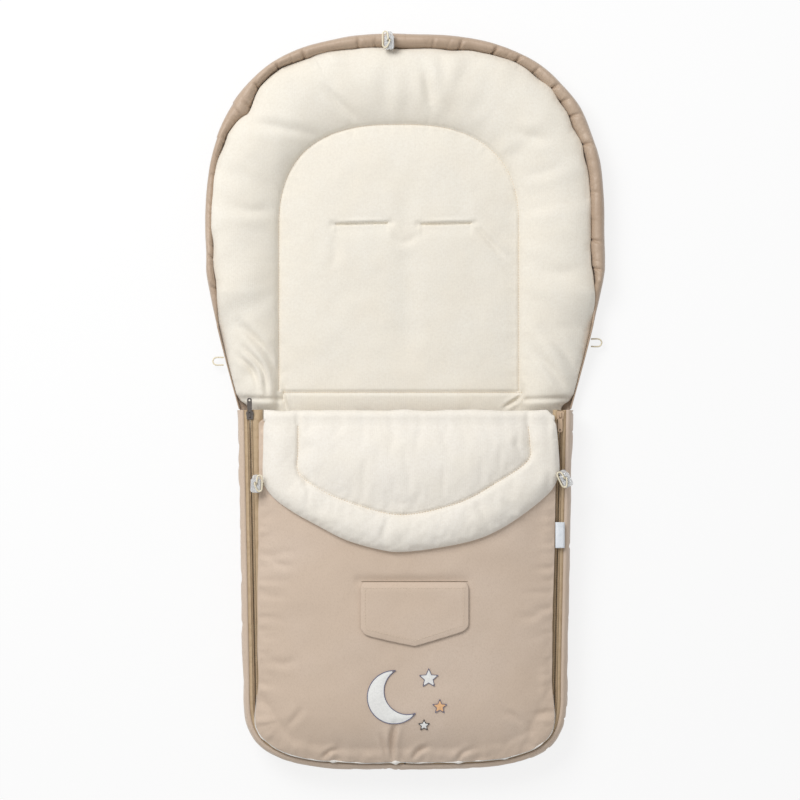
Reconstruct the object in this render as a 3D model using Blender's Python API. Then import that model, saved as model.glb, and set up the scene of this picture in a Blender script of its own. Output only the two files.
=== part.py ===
"""Stroller footmuff: a quilted mat with a gathered hood, and a zipped leg bag whose front folds down.

Metres, +Z up. The footmuff lies open on its back: +Y is the head end, +X the right side seen from above,
and the origin is on the ground under the middle. It is made of three padded mats, each an outer shell, a
wadding and a fleece lining: the back mat with its hood, the leg mat, and the front with its turned-down flap.
"""

import math

import bmesh
import bpy
from mathutils import Matrix, Vector

# Plan of the mat, from the head end to the foot end
HOOD_ARCH_LENGTH = 0.254
HOOD_SIDE_LENGTH = 0.051
WAIST_LENGTH = 0.182
BAG_SIDE_LENGTH = 0.348
FOOT_ARCH_LENGTH = 0.115
HOOD_WIDTH = 0.517
NECK_WIDTH = 0.432
FOOT_WIDTH = 0.418
CREASE_RISE = 0.0197
HOOD_ARCH_EXPONENT = 2.6
FOOT_ARCH_EXPONENT = 3.6
WAIST_EXPONENT = 1.2

# Cloth, and the gap that sewn or touching pieces keep
SHELL_THICKNESS = 0.0012
LINING_THICKNESS = 0.0018
GAP = 0.0003
MERGE_DISTANCE = 0.000001

# Back mat
BACK_SEAM_WIDTH = 0.314
BACK_SEAM_ARCH_LENGTH = 0.140
SEAM_HEIGHT = 0.018
BACK_PANEL_PUFF = 0.011
BACK_BORDER_PUFF = 0.022
BACK_EDGE_HEIGHT = 0.017
BORDER_PUFF_EXPONENT = 0.7
CREASE_RAMP_LENGTH = 0.060
SLOT_LENGTH = 0.072
SLOT_WIDTH = 0.006
SLOT_SPACING = 0.036
SLOT_RISE = 0.223
SLOT_ROUNDING_SHARE = 0.45
CUTTER_OVERRUN = 0.010

# Gathered rim of the hood, with its drawcord
RIM_WIDTH = 0.018
RIM_HEIGHT = 0.043
RIM_THIN_WIDTH = 0.0045
RIM_START_RISE = 0.107
RIM_FULL_RISE = 0.152
RIM_SIDE_RISE_SHARE = 0.4
RIM_CLEARANCE = 0.0012
PUCKER_DEPTH = 0.0024
PUCKER_LEAN = 0.0006
RIM_SECTION_SHARES = (
    (-0.10, 0.0), (0.0, 0.40), (-0.14, 0.80), (-0.48, 1.0), (-0.84, 0.80), (-0.97, 0.40), (-0.88, 0.0),
)
PUCKER_COUNT = 24
PUCKER_STEPS = 4
CORD_DIAMETER = 0.0020
CORD_BORE_DIAMETER = 0.0048
DRAWCORD_HEIGHT = 0.014
DRAWCORD_BEND = 0.007
EYELET_INSET = 0.0122
EYELET_OFFSET = 0.0205

# Leg mat
LEG_SEAM_ARCH_LENGTH = 0.071
LEG_PANEL_PUFF = 0.008
LEG_BORDER_PUFF = 0.007
LEG_EDGE_HEIGHT = 0.014
MOUTH_STEP_LENGTH = 0.004
SHELL_MARGIN = 0.003

# Gusset, the padded side wall of the bag
GUSSET_THICKNESS = 0.0035
GUSSET_BULGE = 0.0090
GUSSET_TOP_DEPTH = 0.0030
# Places on its two faces, as (share of the bulge inwards, share of the zips' height)
GUSSET_OUTER_SHARES = ((0.30, 0.92), (0.0, 0.52), (0.25, 0.18))
GUSSET_INNER_SHARES = ((0.25, 0.24), (0.0, 0.52), (0.30, 0.86))

# Zips: height of the tape's middle, and the distance of the chain from the outline
ZIP_HEIGHT = 0.050
ZIP_INSET = 0.017
TAPE_THICKNESS = 0.0008
TAPE_WIDTH = 0.0075
CHAIN_SLIT = 0.0012
CHAIN_WIDTH = 0.0022
CHAIN_HEIGHT = 0.0024

# Zip sliders and their pull tabs
SLIDER_LENGTH = 0.0110
SLIDER_HEAD_WIDTH = 0.0098
SLIDER_TAIL_WIDTH = 0.0084
SLIDER_PLATE = 0.0010
SLIDER_CHANNEL_HEIGHT = 0.0032
SLIDER_FLANGE = 0.0010
SLIDER_SLOT_HEIGHT = 0.0015
SLIDER_DIVIDER = 0.0006
SLIDER_DIVIDER_LENGTH = 0.0030
SLIDER_TOP_GAP = 0.0005
# A plate's right half, as shares of half its width and half its length
SLIDER_NOTCH_SHARE = 0.86
SLIDER_HEAD_SHARES = ((0.45, 1.0), (0.85, 0.80), (1.0, 0.45))
SLIDER_TAIL_SHARES = ((1.0, -0.30), (1.0, -0.90), (0.85, -1.0))
SLIDER_DIVIDER_SHARE = 0.80
SLIDER_FLANGE_SHARES = (-0.84, 0.20)
CROWN_WIDTH = 0.0020
CROWN_LENGTH = 0.0070
CROWN_HEIGHT = 0.0028
CROWN_WALL = 0.0008
CROWN_CLEARANCE = 0.0005
CROWN_TOP_SHARE = 0.72
CROWN_POST_SHARE = 1.6
TAB_LENGTH = 0.0220
TAB_WIDTH = 0.0062
TAB_NECK_WIDTH = 0.0052
TAB_THICKNESS = 0.0011
TAB_PIN_DIAMETER = 0.0011
TAB_WINDOW_LENGTH = 0.0050
TAB_HOLE_DIAMETER = 0.0024
TAB_END_MARGIN = 0.0030
TAB_SHOULDER_SHARE = 0.55
TAB_CORNER_SHARE = 0.25
TAB_TIP_SHARE = 0.60
TURNED_TAB_LIFT_DEGREES = 4.0

# Front of the bag
FRONT_EDGE_THICKNESS = 0.0052
FRONT_CROWN = 0.025
FRONT_CROWN_EXPONENT = 3.2
FRONT_CEILING = 0.011
MOUTH_CROWN_SHARE = 0.42
MOUTH_RAMP_LENGTH = 0.110
FOLD_DROP = 0.010
FRONT_SEAM_SHARE = 0.72

# Flap, the turned-down top of the front
FLAP_WIDTH_SHARE = 0.861
FLAP_SHIFT = 0.007
FLAP_SIDE_SHARE = 0.25575
FLAP_END_SHARE = 0.2385
FLAP_SEAM_WIDTH_SHARE = 0.79
FLAP_SEAM_SHIFT = 0.010
FLAP_SEAM_SIDE_SHARE = 0.674
FLAP_SEAM_END_SHARE = 0.771
FLAP_STATION_SHARES = (0.0, 0.14, 0.32, 0.64, 1.0)
FLAP_CLEARANCE = 0.0016
FLAP_SEAM_THICKNESS = 0.010
FLAP_EDGE_THICKNESS = 0.009
FLAP_FOLD_THICKNESS = 0.010
FLAP_PANEL_PUFF = 0.008
FLAP_BORDER_PUFF = 0.011
FLAP_FOLD_RAMP_LENGTH = 0.035
FLAP_PUFF_EXPONENT = 0.6

# Elastic cord loops, and the cord locks threaded on them
CORD_SPREAD = 0.0024
FLAP_LOCK_REACH = 0.0107
FLAP_LOCK_RISES = (0.0065, 0.0130)
FLAP_LOCK_LIFT = 0.0082
FLAP_LOCK_LEAN_DEGREES = (2.0, 25.0)
SIDE_LOOP_SPAN = 0.010
SIDE_LOOP_RISES = (0.044, 0.068)
SIDE_LOOP_HEIGHT = 0.010
LOCK_WIDTH = 0.0130
LOCK_HEIGHT = 0.0105
LOCK_DEPTH = 0.0175
LOCK_ROUNDING = 0.0036
LOCK_EDGE_ROUNDING = 0.0008
LOCK_WALL = 0.0014
LOCK_FLOOR = 0.0015
LOCK_PLAY = 0.0003
LOCK_HOLE_DIAMETER = 0.0054
LOCK_HOLE_DEPTH = 0.0115
PLUNGER_OFFSET = 0.0015
PLUNGER_HEEL = 0.0034
PLUNGER_REACH = 0.0055
SPRING_SEAT_DEPTH = 0.0023
SPRING_DIAMETER = 0.0048
SPRING_WIRE = 0.00045
SPRING_CURLS = 4.0

# The loop above a cord lock, in the lock's frame: up through the hole, round an oval beside it, and back down
LOOP_RISING = (
    (0.0, 0.0012, -0.0058),
    (0.0, 0.0012, 0.0004),
    (0.0, 0.0012, 0.0054),
    (0.0006, 0.0013, 0.0071),
    (0.0023, 0.0014, 0.0080),
    (0.0050, 0.0015, 0.0078),
    (0.0076, 0.0019, 0.0073),
    (0.0096, 0.0031, 0.0070),
    (0.0103, 0.0049, 0.0069),
    (0.0096, 0.0067, 0.0069),
    (0.0076, 0.0079, 0.0069),
    (0.0044, 0.0082, 0.0069),
    (0.0, 0.0082, 0.0069),
)
LOOP_FALLING = (
    (-0.0044, 0.0082, 0.0069),
    (-0.0076, 0.0079, 0.0069),
    (-0.0096, 0.0067, 0.0069),
    (-0.0103, 0.0049, 0.0069),
    (-0.0096, 0.0031, 0.0070),
    (-0.0076, 0.0017, 0.0073),
    (-0.0050, 0.0004, 0.0079),
    (-0.0023, -0.0007, 0.0081),
    (-0.0006, -0.0011, 0.0071),
    (0.0, -0.0012, 0.0054),
    (0.0, -0.0012, 0.0004),
    (0.0, -0.0012, -0.0058),
)
# From the flap's edge in under its lock, and from under the lock back to the edge
FLAP_LOOP_IN = (
    (0.0009, 0.0107, -0.0082),
    (0.0007, 0.0078, -0.0083),
    (0.0004, 0.0049, -0.0082),
    (0.0001, 0.0021, -0.0074),
)
FLAP_LOOP_OUT = (
    (-0.0006, -0.0006, -0.0074),
    (-0.0016, 0.0012, -0.0083),
    (-0.0023, 0.0036, -0.0083),
    (-0.0024, 0.0074, -0.0083),
    (-0.0024, 0.0107, -0.0082),
)
# An elastic loop beside the hood, from the rim out and back to it: its left one, as (outward, along Y)
SIDE_LOOP = (
    (0.0, 0.0048),
    (0.0042, 0.0050),
    (0.0084, 0.0050),
    (0.0112, 0.0044),
    (0.0132, 0.0026),
    (0.0140, 0.0),
    (0.0132, -0.0026),
    (0.0112, -0.0044),
    (0.0084, -0.0050),
    (0.0042, -0.0050),
    (0.0, -0.0048),
)

# Small sewn-on pieces
PATCH_GAP = 0.0006
WELT_LENGTH = 0.114
WELT_WIDTH = 0.010
WELT_THICKNESS = 0.0008
POCKET_WIDTH = 0.137
POCKET_SIDE_LENGTH = 0.066
POCKET_POINT_LENGTH = 0.082
POCKET_THICKNESS = 0.0022
POCKET_CORNER = 0.0045
POCKET_OFFSET = 0.012
POCKET_PLACE_SHARE = 0.6264
FELT_THICKNESS = 0.0012
MOON_RADIUS = 0.034
MOON_BITE_RADIUS = 0.030
MOON_BITE_SHIFT = 0.019
MOON_FACING_DEGREES = 25.0
STAR_RADII = (0.0125, 0.0095, 0.0075)
# Centres, as shares of the foot's width from the middle and of its arch from where that starts
MOON_PLACE_SHARES = (-0.0335, -0.139)
STAR_PLACE_SHARES = ((0.0718, 0.0696), (0.1053, -0.2435), (0.0574, -0.4522))
STAR_INNER_SHARE = 0.45
TAG_LENGTH = 0.033
TAG_WIDTH = 0.018
TAG_THICKNESS = 0.0007
TAG_PLACE_SHARE = 0.4109
TAG_ROOT_SHARE = 0.32
PIPING_DIAMETER = 0.0026
PIPING_REACH_SHARE = 0.9416

# Places that follow from those sizes
HALF_LENGTH = (HOOD_ARCH_LENGTH + HOOD_SIDE_LENGTH + WAIST_LENGTH + BAG_SIDE_LENGTH + FOOT_ARCH_LENGTH) / 2
ARCH_Y = HALF_LENGTH - HOOD_ARCH_LENGTH
WIDE_Y = ARCH_Y - HOOD_SIDE_LENGTH
NECK_Y = WIDE_Y - WAIST_LENGTH
FOOT_Y = NECK_Y - BAG_SIDE_LENGTH
CREASE_Y = NECK_Y + CREASE_RISE
FOLD_Y = NECK_Y - FOLD_DROP
FLAP_WIDTH = NECK_WIDTH * FLAP_WIDTH_SHARE
FLAP_SEAM_WIDTH = FLAP_WIDTH * FLAP_SEAM_WIDTH_SHARE
FLAP_SIDE_LENGTH = BAG_SIDE_LENGTH * FLAP_SIDE_SHARE
FLAP_END_LENGTH = BAG_SIDE_LENGTH * FLAP_END_SHARE
FLAP_SEAM_SIDE_LENGTH = FLAP_SIDE_LENGTH * FLAP_SEAM_SIDE_SHARE
FLAP_SEAM_END_LENGTH = FLAP_END_LENGTH * FLAP_SEAM_END_SHARE
PAD_BOTTOM = SHELL_THICKNESS + GAP
FRONT_INSET = ZIP_INSET + TAPE_WIDTH + GAP
GUSSET_TOP_INSET = ZIP_INSET - TAPE_WIDTH - GAP
HINGE_HEIGHT = ZIP_HEIGHT + FRONT_EDGE_THICKNESS / 2 + FRONT_CROWN * MOUTH_CROWN_SHARE + FLAP_CLEARANCE / 2
SLIDER_TOP = SLIDER_CHANNEL_HEIGHT / 2 + SLIDER_PLATE
SLIDER_Y = NECK_Y - SLIDER_LENGTH / 2 - SLIDER_TOP_GAP


def smooth(share):
    """Eased step from 0 to 1."""
    share = min(max(share, 0.0), 1.0)
    return share * share * (3.0 - 2.0 * share)


def material(name, colour, roughness, metallic=0.0, alpha=1.0):
    """One Principled material; the colour is linear."""
    made = bpy.data.materials.new(name)
    made.use_nodes = True
    shader = made.node_tree.nodes["Principled BSDF"]
    shader.inputs["Base Color"].default_value = (*colour, 1.0)
    shader.inputs["Roughness"].default_value = roughness
    shader.inputs["Metallic"].default_value = metallic
    shader.inputs["Alpha"].default_value = alpha
    made.diffuse_color = (*colour, alpha)
    return made


def joint_axis(name, location, parent=None):
    """An empty on a joint's axis, which carries what moves there."""
    empty = bpy.data.objects.new(name, None)
    bpy.context.scene.collection.objects.link(empty)
    empty.parent = parent
    empty.location = Vector(location) - parent_place(parent)
    return empty


def parent_place(parent):
    """Where a carrying empty stands in the world; the empties are moved but never turned."""
    place = Vector((0, 0, 0))
    while parent is not None:
        place += parent.location
        parent = parent.parent
    return place


def add_mesh(name, bm, finish, parent=None, frame=None):
    """Closes a bmesh into a named object. Its points are in the world, or in frame where that is given."""
    bmesh.ops.remove_doubles(bm, verts=bm.verts, dist=MERGE_DISTANCE)
    bmesh.ops.recalc_face_normals(bm, faces=bm.faces)
    if bm.calc_volume(signed=True) < 0.0:
        bmesh.ops.reverse_faces(bm, faces=bm.faces)
    mesh = bpy.data.meshes.new(name)
    bm.to_mesh(mesh)
    bm.free()
    mesh.materials.append(finish)
    mesh.shade_smooth()
    mesh.set_sharp_from_angle(angle=math.radians(50))
    made = bpy.data.objects.new(name, mesh)
    bpy.context.scene.collection.objects.link(made)
    carrier = parent_place(parent)
    made.parent = parent
    if frame is None:
        mesh.transform(Matrix.Translation(-carrier))
    else:
        made.rotation_euler = frame.to_euler()
        made.location = frame.translation - carrier
    return made


def as_cutter(made):
    """Marks an object as a tool that only cuts."""
    made.hide_render = True
    made.display_type = "WIRE"
    return made


def cut(target, cutter):
    """Takes the cutter out of the target."""
    modifier = target.modifiers.new("cut_" + cutter.name, "BOOLEAN")
    modifier.operation = "DIFFERENCE"
    modifier.object = cutter


def loft(bm, rings):
    """Joins rings of equally many points and caps both ends."""
    made = [[bm.verts.new(point) for point in ring] for ring in rings]
    for near, far in zip(made, made[1:]):
        for i in range(len(near)):
            j = (i + 1) % len(near)
            bm.faces.new((near[i], near[j], far[j], far[i]))
    bm.faces.new(made[0])
    bm.faces.new(made[-1])
    return bm


def box(bm, low, high):
    """A block between two corners."""
    size = [b - a for a, b in zip(low, high)]
    middle = [(a + b) / 2 for a, b in zip(low, high)]
    place = Matrix.Translation(middle) @ Matrix.Diagonal((*size, 1.0))
    return bmesh.ops.create_cube(bm, size=1.0, matrix=place)["verts"]


def round_rod(bm, radius, start, end, sides=12):
    """A straight round bar between two points."""
    start = Vector(start)
    end = Vector(end)
    turn = (end - start).to_track_quat("Z", "Y").to_matrix().to_4x4()
    place = Matrix.Translation((start + end) / 2) @ turn
    length = (end - start).length
    bmesh.ops.create_cone(
        bm, cap_ends=True, segments=sides, radius1=radius, radius2=radius, depth=length, matrix=place
    )


# Plan curves. Each starts at the right end of a straight edge and comes back to its left end.


def half_width(y):
    """Half of the mat's width beside its straight and waisted sides."""
    if y >= WIDE_Y:
        return HOOD_WIDTH / 2
    if y >= NECK_Y:
        swell = 1.0 - ((WIDE_Y - y) / WAIST_LENGTH) ** WAIST_EXPONENT
        return NECK_WIDTH / 2 + (HOOD_WIDTH - NECK_WIDTH) / 2 * swell
    return NECK_WIDTH / 2 + (FOOT_WIDTH - NECK_WIDTH) / 2 * (NECK_Y - y) / BAG_SIDE_LENGTH


def arch(centre_y, width, length, exponent, steps):
    """Superellipse from the right side round to the left; a negative length turns it to the foot."""
    points = []
    for i in range(steps + 1):
        angle = math.pi * i / steps
        across = math.copysign(abs(math.cos(angle)) ** (2 / exponent), math.cos(angle))
        along = abs(math.sin(angle)) ** (2 / exponent)
        points.append(Vector((width / 2 * across, centre_y + length * along)))
    return points


def bow(centre_y, width, length, steps):
    """Circular arc from the right side round to the left, swelling by length; negative is to the foot."""
    radius = (width**2 / 4 + length**2) / (2 * abs(length))
    reach = math.asin(width / 2 / radius)
    points = []
    for i in range(steps + 1):
        angle = reach * (1 - 2 * i / steps)
        rise = radius * (math.cos(angle) - math.cos(reach))
        points.append(Vector((radius * math.sin(angle), centre_y + math.copysign(rise, length))))
    return points


def bay(side_ys, width_at, end):
    """Sides through side_ys, joined by the curve end, which starts at the last of them."""
    right = [Vector((width_at(y), y)) for y in side_ys[:-1]]
    left = [Vector((-point.x, point.y)) for point in reversed(right)]
    return right + end + left


def hood_arch(width, length, steps):
    """The round end of the hood, or of a line inside it."""
    return arch(ARCH_Y, width, length, HOOD_ARCH_EXPONENT, steps)


def foot_arch(width, length, steps):
    """The round end of the foot, or of a line inside it."""
    return arch(FOOT_Y, width, -length, FOOT_ARCH_EXPONENT, steps)


def spread(start, end, steps):
    """Evenly spaced values with both ends."""
    return [start + (end - start) * i / steps for i in range(steps + 1)]


def normals(path):
    """Outward directions at the points of a plan curve."""
    found = []
    for i in range(len(path)):
        along = path[min(i + 1, len(path) - 1)] - path[max(i - 1, 0)]
        found.append(Vector((along.y, -along.x)).normalized())
    return found


def outward(path, toward_foot):
    """Normals that point away from the mat, whichever way round the curve runs."""
    side = -1.0 if toward_foot else 1.0
    return [side * direction for direction in normals(path)]


def moved(path, directions, distances):
    """The curve moved along its normals, outwards where a distance is positive."""
    return [point + way * d for point, way, d in zip(path, directions, distances)]


def resampled(path, count):
    """The curve read at equal steps along its length."""
    lengths = [0.0]
    for a, b in zip(path, path[1:]):
        lengths.append(lengths[-1] + (b - a).length)
    points = []
    k = 0
    for i in range(count + 1):
        want = lengths[-1] * i / count
        while k < len(path) - 2 and lengths[k + 1] < want:
            k += 1
        share = (want - lengths[k]) / (lengths[k + 1] - lengths[k])
        points.append(path[k].lerp(path[k + 1], share))
    return points


def bag_path(start_y, side_steps=1):
    """The bag's outline from start_y on the right, round the foot and up to start_y on the left."""
    ys = spread(start_y, FOOT_Y, side_steps)
    return bay(ys, half_width, foot_arch(FOOT_WIDTH, FOOT_ARCH_LENGTH, 14))


def bag_curve(path, inset):
    """The bag's outline moved inwards."""
    return moved(path, outward(path, True), [-inset] * len(path))


def sweep(name, path, directions, section, finish, parent=None):
    """A bar along a plan curve. section(i) gives its points at station i as (outward, height)."""
    rings = []
    for i, (point, way) in enumerate(zip(path, directions)):
        rings.append([(*(point + way * out), height) for out, height in section(i)])
    return add_mesh(name, loft(bmesh.new(), rings), finish, parent)


# Quilted pads. Rings run from a spine through a seam to the outline; a ring below 1 is inside the seam.


def quilt_rings(outline, seam, spine, panel_rings, border_rings):
    """(ring number, points) from the spine outwards."""
    rings = []
    for k in range(panel_rings):
        share = k / panel_rings
        rings.append((share, [a.lerp(b, share) for a, b in zip(spine, seam)]))
    for k in range(border_rings + 1):
        share = k / border_rings
        rings.append((1.0 + share, [a.lerp(b, share) for a, b in zip(seam, outline)]))
    return rings


def quilt(name, rings, low, high, finish, parent=None):
    """A closed layer between the heights low(ring, x, y) and high(ring, x, y)."""
    bm = bmesh.new()
    bottom = [[bm.verts.new((*p, low(ring, *p))) for p in points] for ring, points in rings]
    top = [[bm.verts.new((*p, high(ring, *p))) for p in points] for ring, points in rings]
    corner_lists = []
    for k in range(len(rings) - 1):
        for i in range(len(rings[0][1]) - 1):
            for layer in (bottom, top):
                corners = (layer[k][i], layer[k + 1][i], layer[k + 1][i + 1], layer[k][i + 1])
                corner_lists.append(corners)
        for i in (0, len(rings[0][1]) - 1):
            corner_lists.append((bottom[k][i], bottom[k + 1][i], top[k + 1][i], top[k][i]))
    for i in range(len(rings[0][1]) - 1):
        corner_lists.append((bottom[-1][i], bottom[-1][i + 1], top[-1][i + 1], top[-1][i]))
    for corners in corner_lists:
        bm.faces.new(corners)
    return add_mesh(name, bm, finish, parent)


def quilted(ring, seam, panel_puff, border_puff, edge, exponent=BORDER_PUFF_EXPONENT):
    """Height across a quilted pad: a low crown inside its seam, and a full border from there to its edge."""
    if ring <= 1.0:
        return seam + panel_puff * (1.0 - ring**4)
    across = ring - 1.0
    crown = (4.0 * across * (1.0 - across)) ** exponent
    return seam + (edge - seam) * across + border_puff * crown


def back_top(ring, x, y):
    """Height of the back mat's fleece."""
    ramp = smooth((y - CREASE_Y) / CREASE_RAMP_LENGTH)
    return quilted(ring, SEAM_HEIGHT, BACK_PANEL_PUFF * ramp, BACK_BORDER_PUFF * ramp, BACK_EDGE_HEIGHT)


def leg_top(ring, x, y):
    """Height of the leg mat's fleece."""
    ramp = smooth((CREASE_Y - y) / CREASE_RAMP_LENGTH)
    return quilted(ring, SEAM_HEIGHT, LEG_PANEL_PUFF * ramp, LEG_BORDER_PUFF * ramp, LEG_EDGE_HEIGHT)


def front_reach(x, y):
    """How far a point of the front lies from its middle line to its edge, as a share."""
    across = abs(x) / (half_width(max(y, FOOT_Y)) - FRONT_INSET)
    along = max(FOOT_Y - y, 0.0) / (FOOT_ARCH_LENGTH - FRONT_INSET)
    reach = (across**FOOT_ARCH_EXPONENT + along**FOOT_ARCH_EXPONENT) ** (1 / FOOT_ARCH_EXPONENT)
    return min(reach, 1.0)


def mouth_swell(y):
    """The front is flatter at its mouth, where it is folded."""
    return MOUTH_CROWN_SHARE + (1.0 - MOUTH_CROWN_SHARE) * smooth((FOLD_Y - y) / MOUTH_RAMP_LENGTH)


def front_top(x, y):
    """Height of the front's outer cloth."""
    swell = 1.0 - front_reach(x, y) ** FRONT_CROWN_EXPONENT
    return ZIP_HEIGHT + FRONT_EDGE_THICKNESS / 2 + FRONT_CROWN * swell * mouth_swell(y)


def front_low(x, y):
    """Height of the front's fleece, the ceiling of the bag."""
    swell = 1.0 - front_reach(x, y) ** 2
    return ZIP_HEIGHT - FRONT_EDGE_THICKNESS / 2 + FRONT_CEILING * swell * mouth_swell(y)


def flap_low(x, y):
    """Height of the folded flap's outer cloth, which lies on the front."""
    return front_top(x, y) + FLAP_CLEARANCE


def flap_thickness(ring, y):
    """Padding of the flap from cloth to fleece."""
    ramp = smooth((FOLD_Y - y) / FLAP_FOLD_RAMP_LENGTH)
    puffs = (FLAP_PANEL_PUFF, FLAP_BORDER_PUFF)
    full = quilted(ring, FLAP_SEAM_THICKNESS, *puffs, FLAP_EDGE_THICKNESS, FLAP_PUFF_EXPONENT)
    return FLAP_FOLD_THICKNESS + (full - FLAP_FOLD_THICKNESS) * ramp


def rim_growth(y):
    """0 where the rim is only a thin turned edge, 1 where it is the full gathered casing."""
    rise = (y - NECK_Y - RIM_START_RISE) / (RIM_FULL_RISE - RIM_START_RISE)
    return min(max(rise, 0.0), 1.0)


def rim_width(y):
    return RIM_THIN_WIDTH + (RIM_WIDTH - RIM_THIN_WIDTH) * rim_growth(y)


def rim_height(y):
    side_rise = (RIM_HEIGHT - BACK_EDGE_HEIGHT) * RIM_SIDE_RISE_SHARE
    low = BACK_EDGE_HEIGHT + side_rise * smooth((y - CREASE_Y) / RIM_START_RISE)
    return low + (RIM_HEIGHT - low) * rim_growth(y)


def three_layers(prefix, rings, low, high, parent, finishes):
    """Lining, wadding and shell of a turned-over pad: low is its outer cloth or its fleece."""
    names = [prefix + part for part in ("_" + finishes[0][0], "_wadding", "_" + finishes[1][0])]
    first = finishes[0][1]
    last = finishes[1][1]
    fibre = finishes[2]

    def raised(surface, lift):
        return lambda ring, x, y: surface(ring, x, y) + lift

    quilt(names[0], rings, low, raised(low, first), finishes[0][2], parent)
    quilt(names[1], rings, raised(low, first + GAP), raised(high, -last - GAP), fibre, parent)
    quilt(names[2], rings, raised(high, -last), high, finishes[1][2], parent)


def cord_object(name, points, diameter, finish, parent=None, resolution=2):
    """A cord or wire through points, as a filled tube."""
    curve = bpy.data.curves.new(name, "CURVE")
    curve.dimensions = "3D"
    curve.bevel_depth = diameter / 2
    curve.bevel_resolution = resolution
    curve.use_fill_caps = True
    carrier = parent_place(parent)
    spline = curve.splines.new("POLY")
    spline.points.add(len(points) - 1)
    for slot, point in zip(spline.points, points):
        slot.co = (*(Vector(point) - carrier), 1.0)
    curve.materials.append(finish)
    made = bpy.data.objects.new(name, curve)
    bpy.context.scene.collection.objects.link(made)
    made.parent = parent
    return made


def smooth_route(route, steps):
    """Points on one smooth curve through a route: steps of them between neighbouring points."""
    ends = [2 * route[0] - route[1], *route, 2 * route[-1] - route[-2]]
    points = []
    for a, b, c, d in zip(ends, ends[1:], ends[2:], ends[3:]):
        for i in range(steps):
            t = i / steps
            bend = (2 * a - 5 * b + 4 * c - d) * t**2
            twist = (3 * b - 3 * c + d - a) * t**3
            points.append(0.5 * (2 * b + (c - a) * t + bend + twist))
    return points + [route[-1]]


def tube_mesh(points, radius, sides=6):
    """Rings of a tube round a route, for cutting a bore along it."""
    rings = []
    side = Vector((0, 0, 1))
    for i, point in enumerate(points):
        along = (points[min(i + 1, len(points) - 1)] - points[max(i - 1, 0)]).normalized()
        side = (side - along * side.dot(along)).normalized()
        up = along.cross(side)
        turns = [2 * math.pi * (k + 0.5) / sides for k in range(sides)]
        rings.append([point + (side * math.cos(a) + up * math.sin(a)) * radius for a in turns])
    return rings


def least_self_gap(points, wire, neighbours):
    """Smallest clear distance between stretches of a wound wire that aren't neighbours along it."""
    least = math.inf
    for i, a in enumerate(points):
        for b in points[i + neighbours :]:
            least = min(least, (a - b).length)
    return least - wire


def build_back(finishes, axis):
    """The back mat: shell, wadding and fleece, cut by the two harness slots."""
    start = CREASE_Y + GAP / 2
    rim_start = NECK_Y + RIM_START_RISE
    ramp_end = CREASE_Y + CREASE_RAMP_LENGTH
    ys = spread(start, ramp_end, 4) + spread(rim_start, NECK_Y + RIM_FULL_RISE, 2) + [WIDE_Y, ARCH_Y]
    outer = bay(ys, half_width, hood_arch(HOOD_WIDTH, HOOD_ARCH_LENGTH, 18))
    ways = outward(outer, False)
    insets = [-(rim_width(point.y) + RIM_CLEARANCE) for point in outer]
    outline = moved(outer, ways, insets)
    side = len(ys) - 1
    outline[0].y = outline[-1].y = ys[0]
    seam = bay(ys, lambda y: BACK_SEAM_WIDTH / 2, hood_arch(BACK_SEAM_WIDTH, BACK_SEAM_ARCH_LENGTH, 18))
    spine = [Vector((0, y)) for y in ys[:-1]]
    spine = spine + [Vector((0, ARCH_Y))] * (len(outer) - 2 * side) + spine[::-1]
    rings = quilt_rings(outline, seam, spine, 3, 4)

    def wadding_low(ring, x, y):
        return PAD_BOTTOM

    def lining_low(ring, x, y):
        return back_top(ring, x, y) - LINING_THICKNESS

    def wadding_top(ring, x, y):
        return lining_low(ring, x, y) - GAP

    margin = moved(outer, ways, [-SHELL_MARGIN / 2] * len(outer))
    margin[0].y = margin[-1].y = ys[0]
    sheet = [(0.0, spine), (1.0, margin)]
    shell = quilt("back_shell", sheet, lambda *_: 0.0, lambda *_: SHELL_THICKNESS, finishes["cloth"], axis)
    wadding = quilt("back_wadding", rings, wadding_low, wadding_top, finishes["fibre"], axis)
    lining = quilt("back_lining", rings, lining_low, back_top, finishes["fleece"], axis)

    for side_name, sign in (("left", -1.0), ("right", 1.0)):
        middle = sign * (SLOT_SPACING + SLOT_LENGTH) / 2
        height = SEAM_HEIGHT + BACK_PANEL_PUFF + CUTTER_OVERRUN
        bm = bmesh.new()
        low = (middle - SLOT_LENGTH / 2, CREASE_Y + SLOT_RISE - SLOT_WIDTH / 2, -CUTTER_OVERRUN)
        high = (middle + SLOT_LENGTH / 2, CREASE_Y + SLOT_RISE + SLOT_WIDTH / 2, height)
        box(bm, low, high)
        upright = [e for e in bm.edges if abs(e.verts[0].co.z - e.verts[1].co.z) > CUTTER_OVERRUN]
        rounding = SLOT_WIDTH * SLOT_ROUNDING_SHARE
        bmesh.ops.bevel(
            bm, geom=upright, offset=rounding, offset_type="OFFSET", segments=3, profile=0.5, affect="EDGES"
        )
        cutter = as_cutter(add_mesh("slot_cutter_" + side_name, bm, finishes["cloth"], axis))
        for piece in (shell, wadding, lining):
            cut(piece, cutter)


def rim_surface(inset):
    """Height of the full rim's top, inset from the outline."""
    share = -inset / RIM_WIDTH
    for (out, up), (far_out, far_up) in zip(RIM_SECTION_SHARES, RIM_SECTION_SHARES[1:]):
        if far_out <= share <= out:
            level = up + (far_up - up) * (out - share) / (out - far_out)
    return PAD_BOTTOM + (RIM_HEIGHT - PAD_BOTTOM) * level


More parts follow.
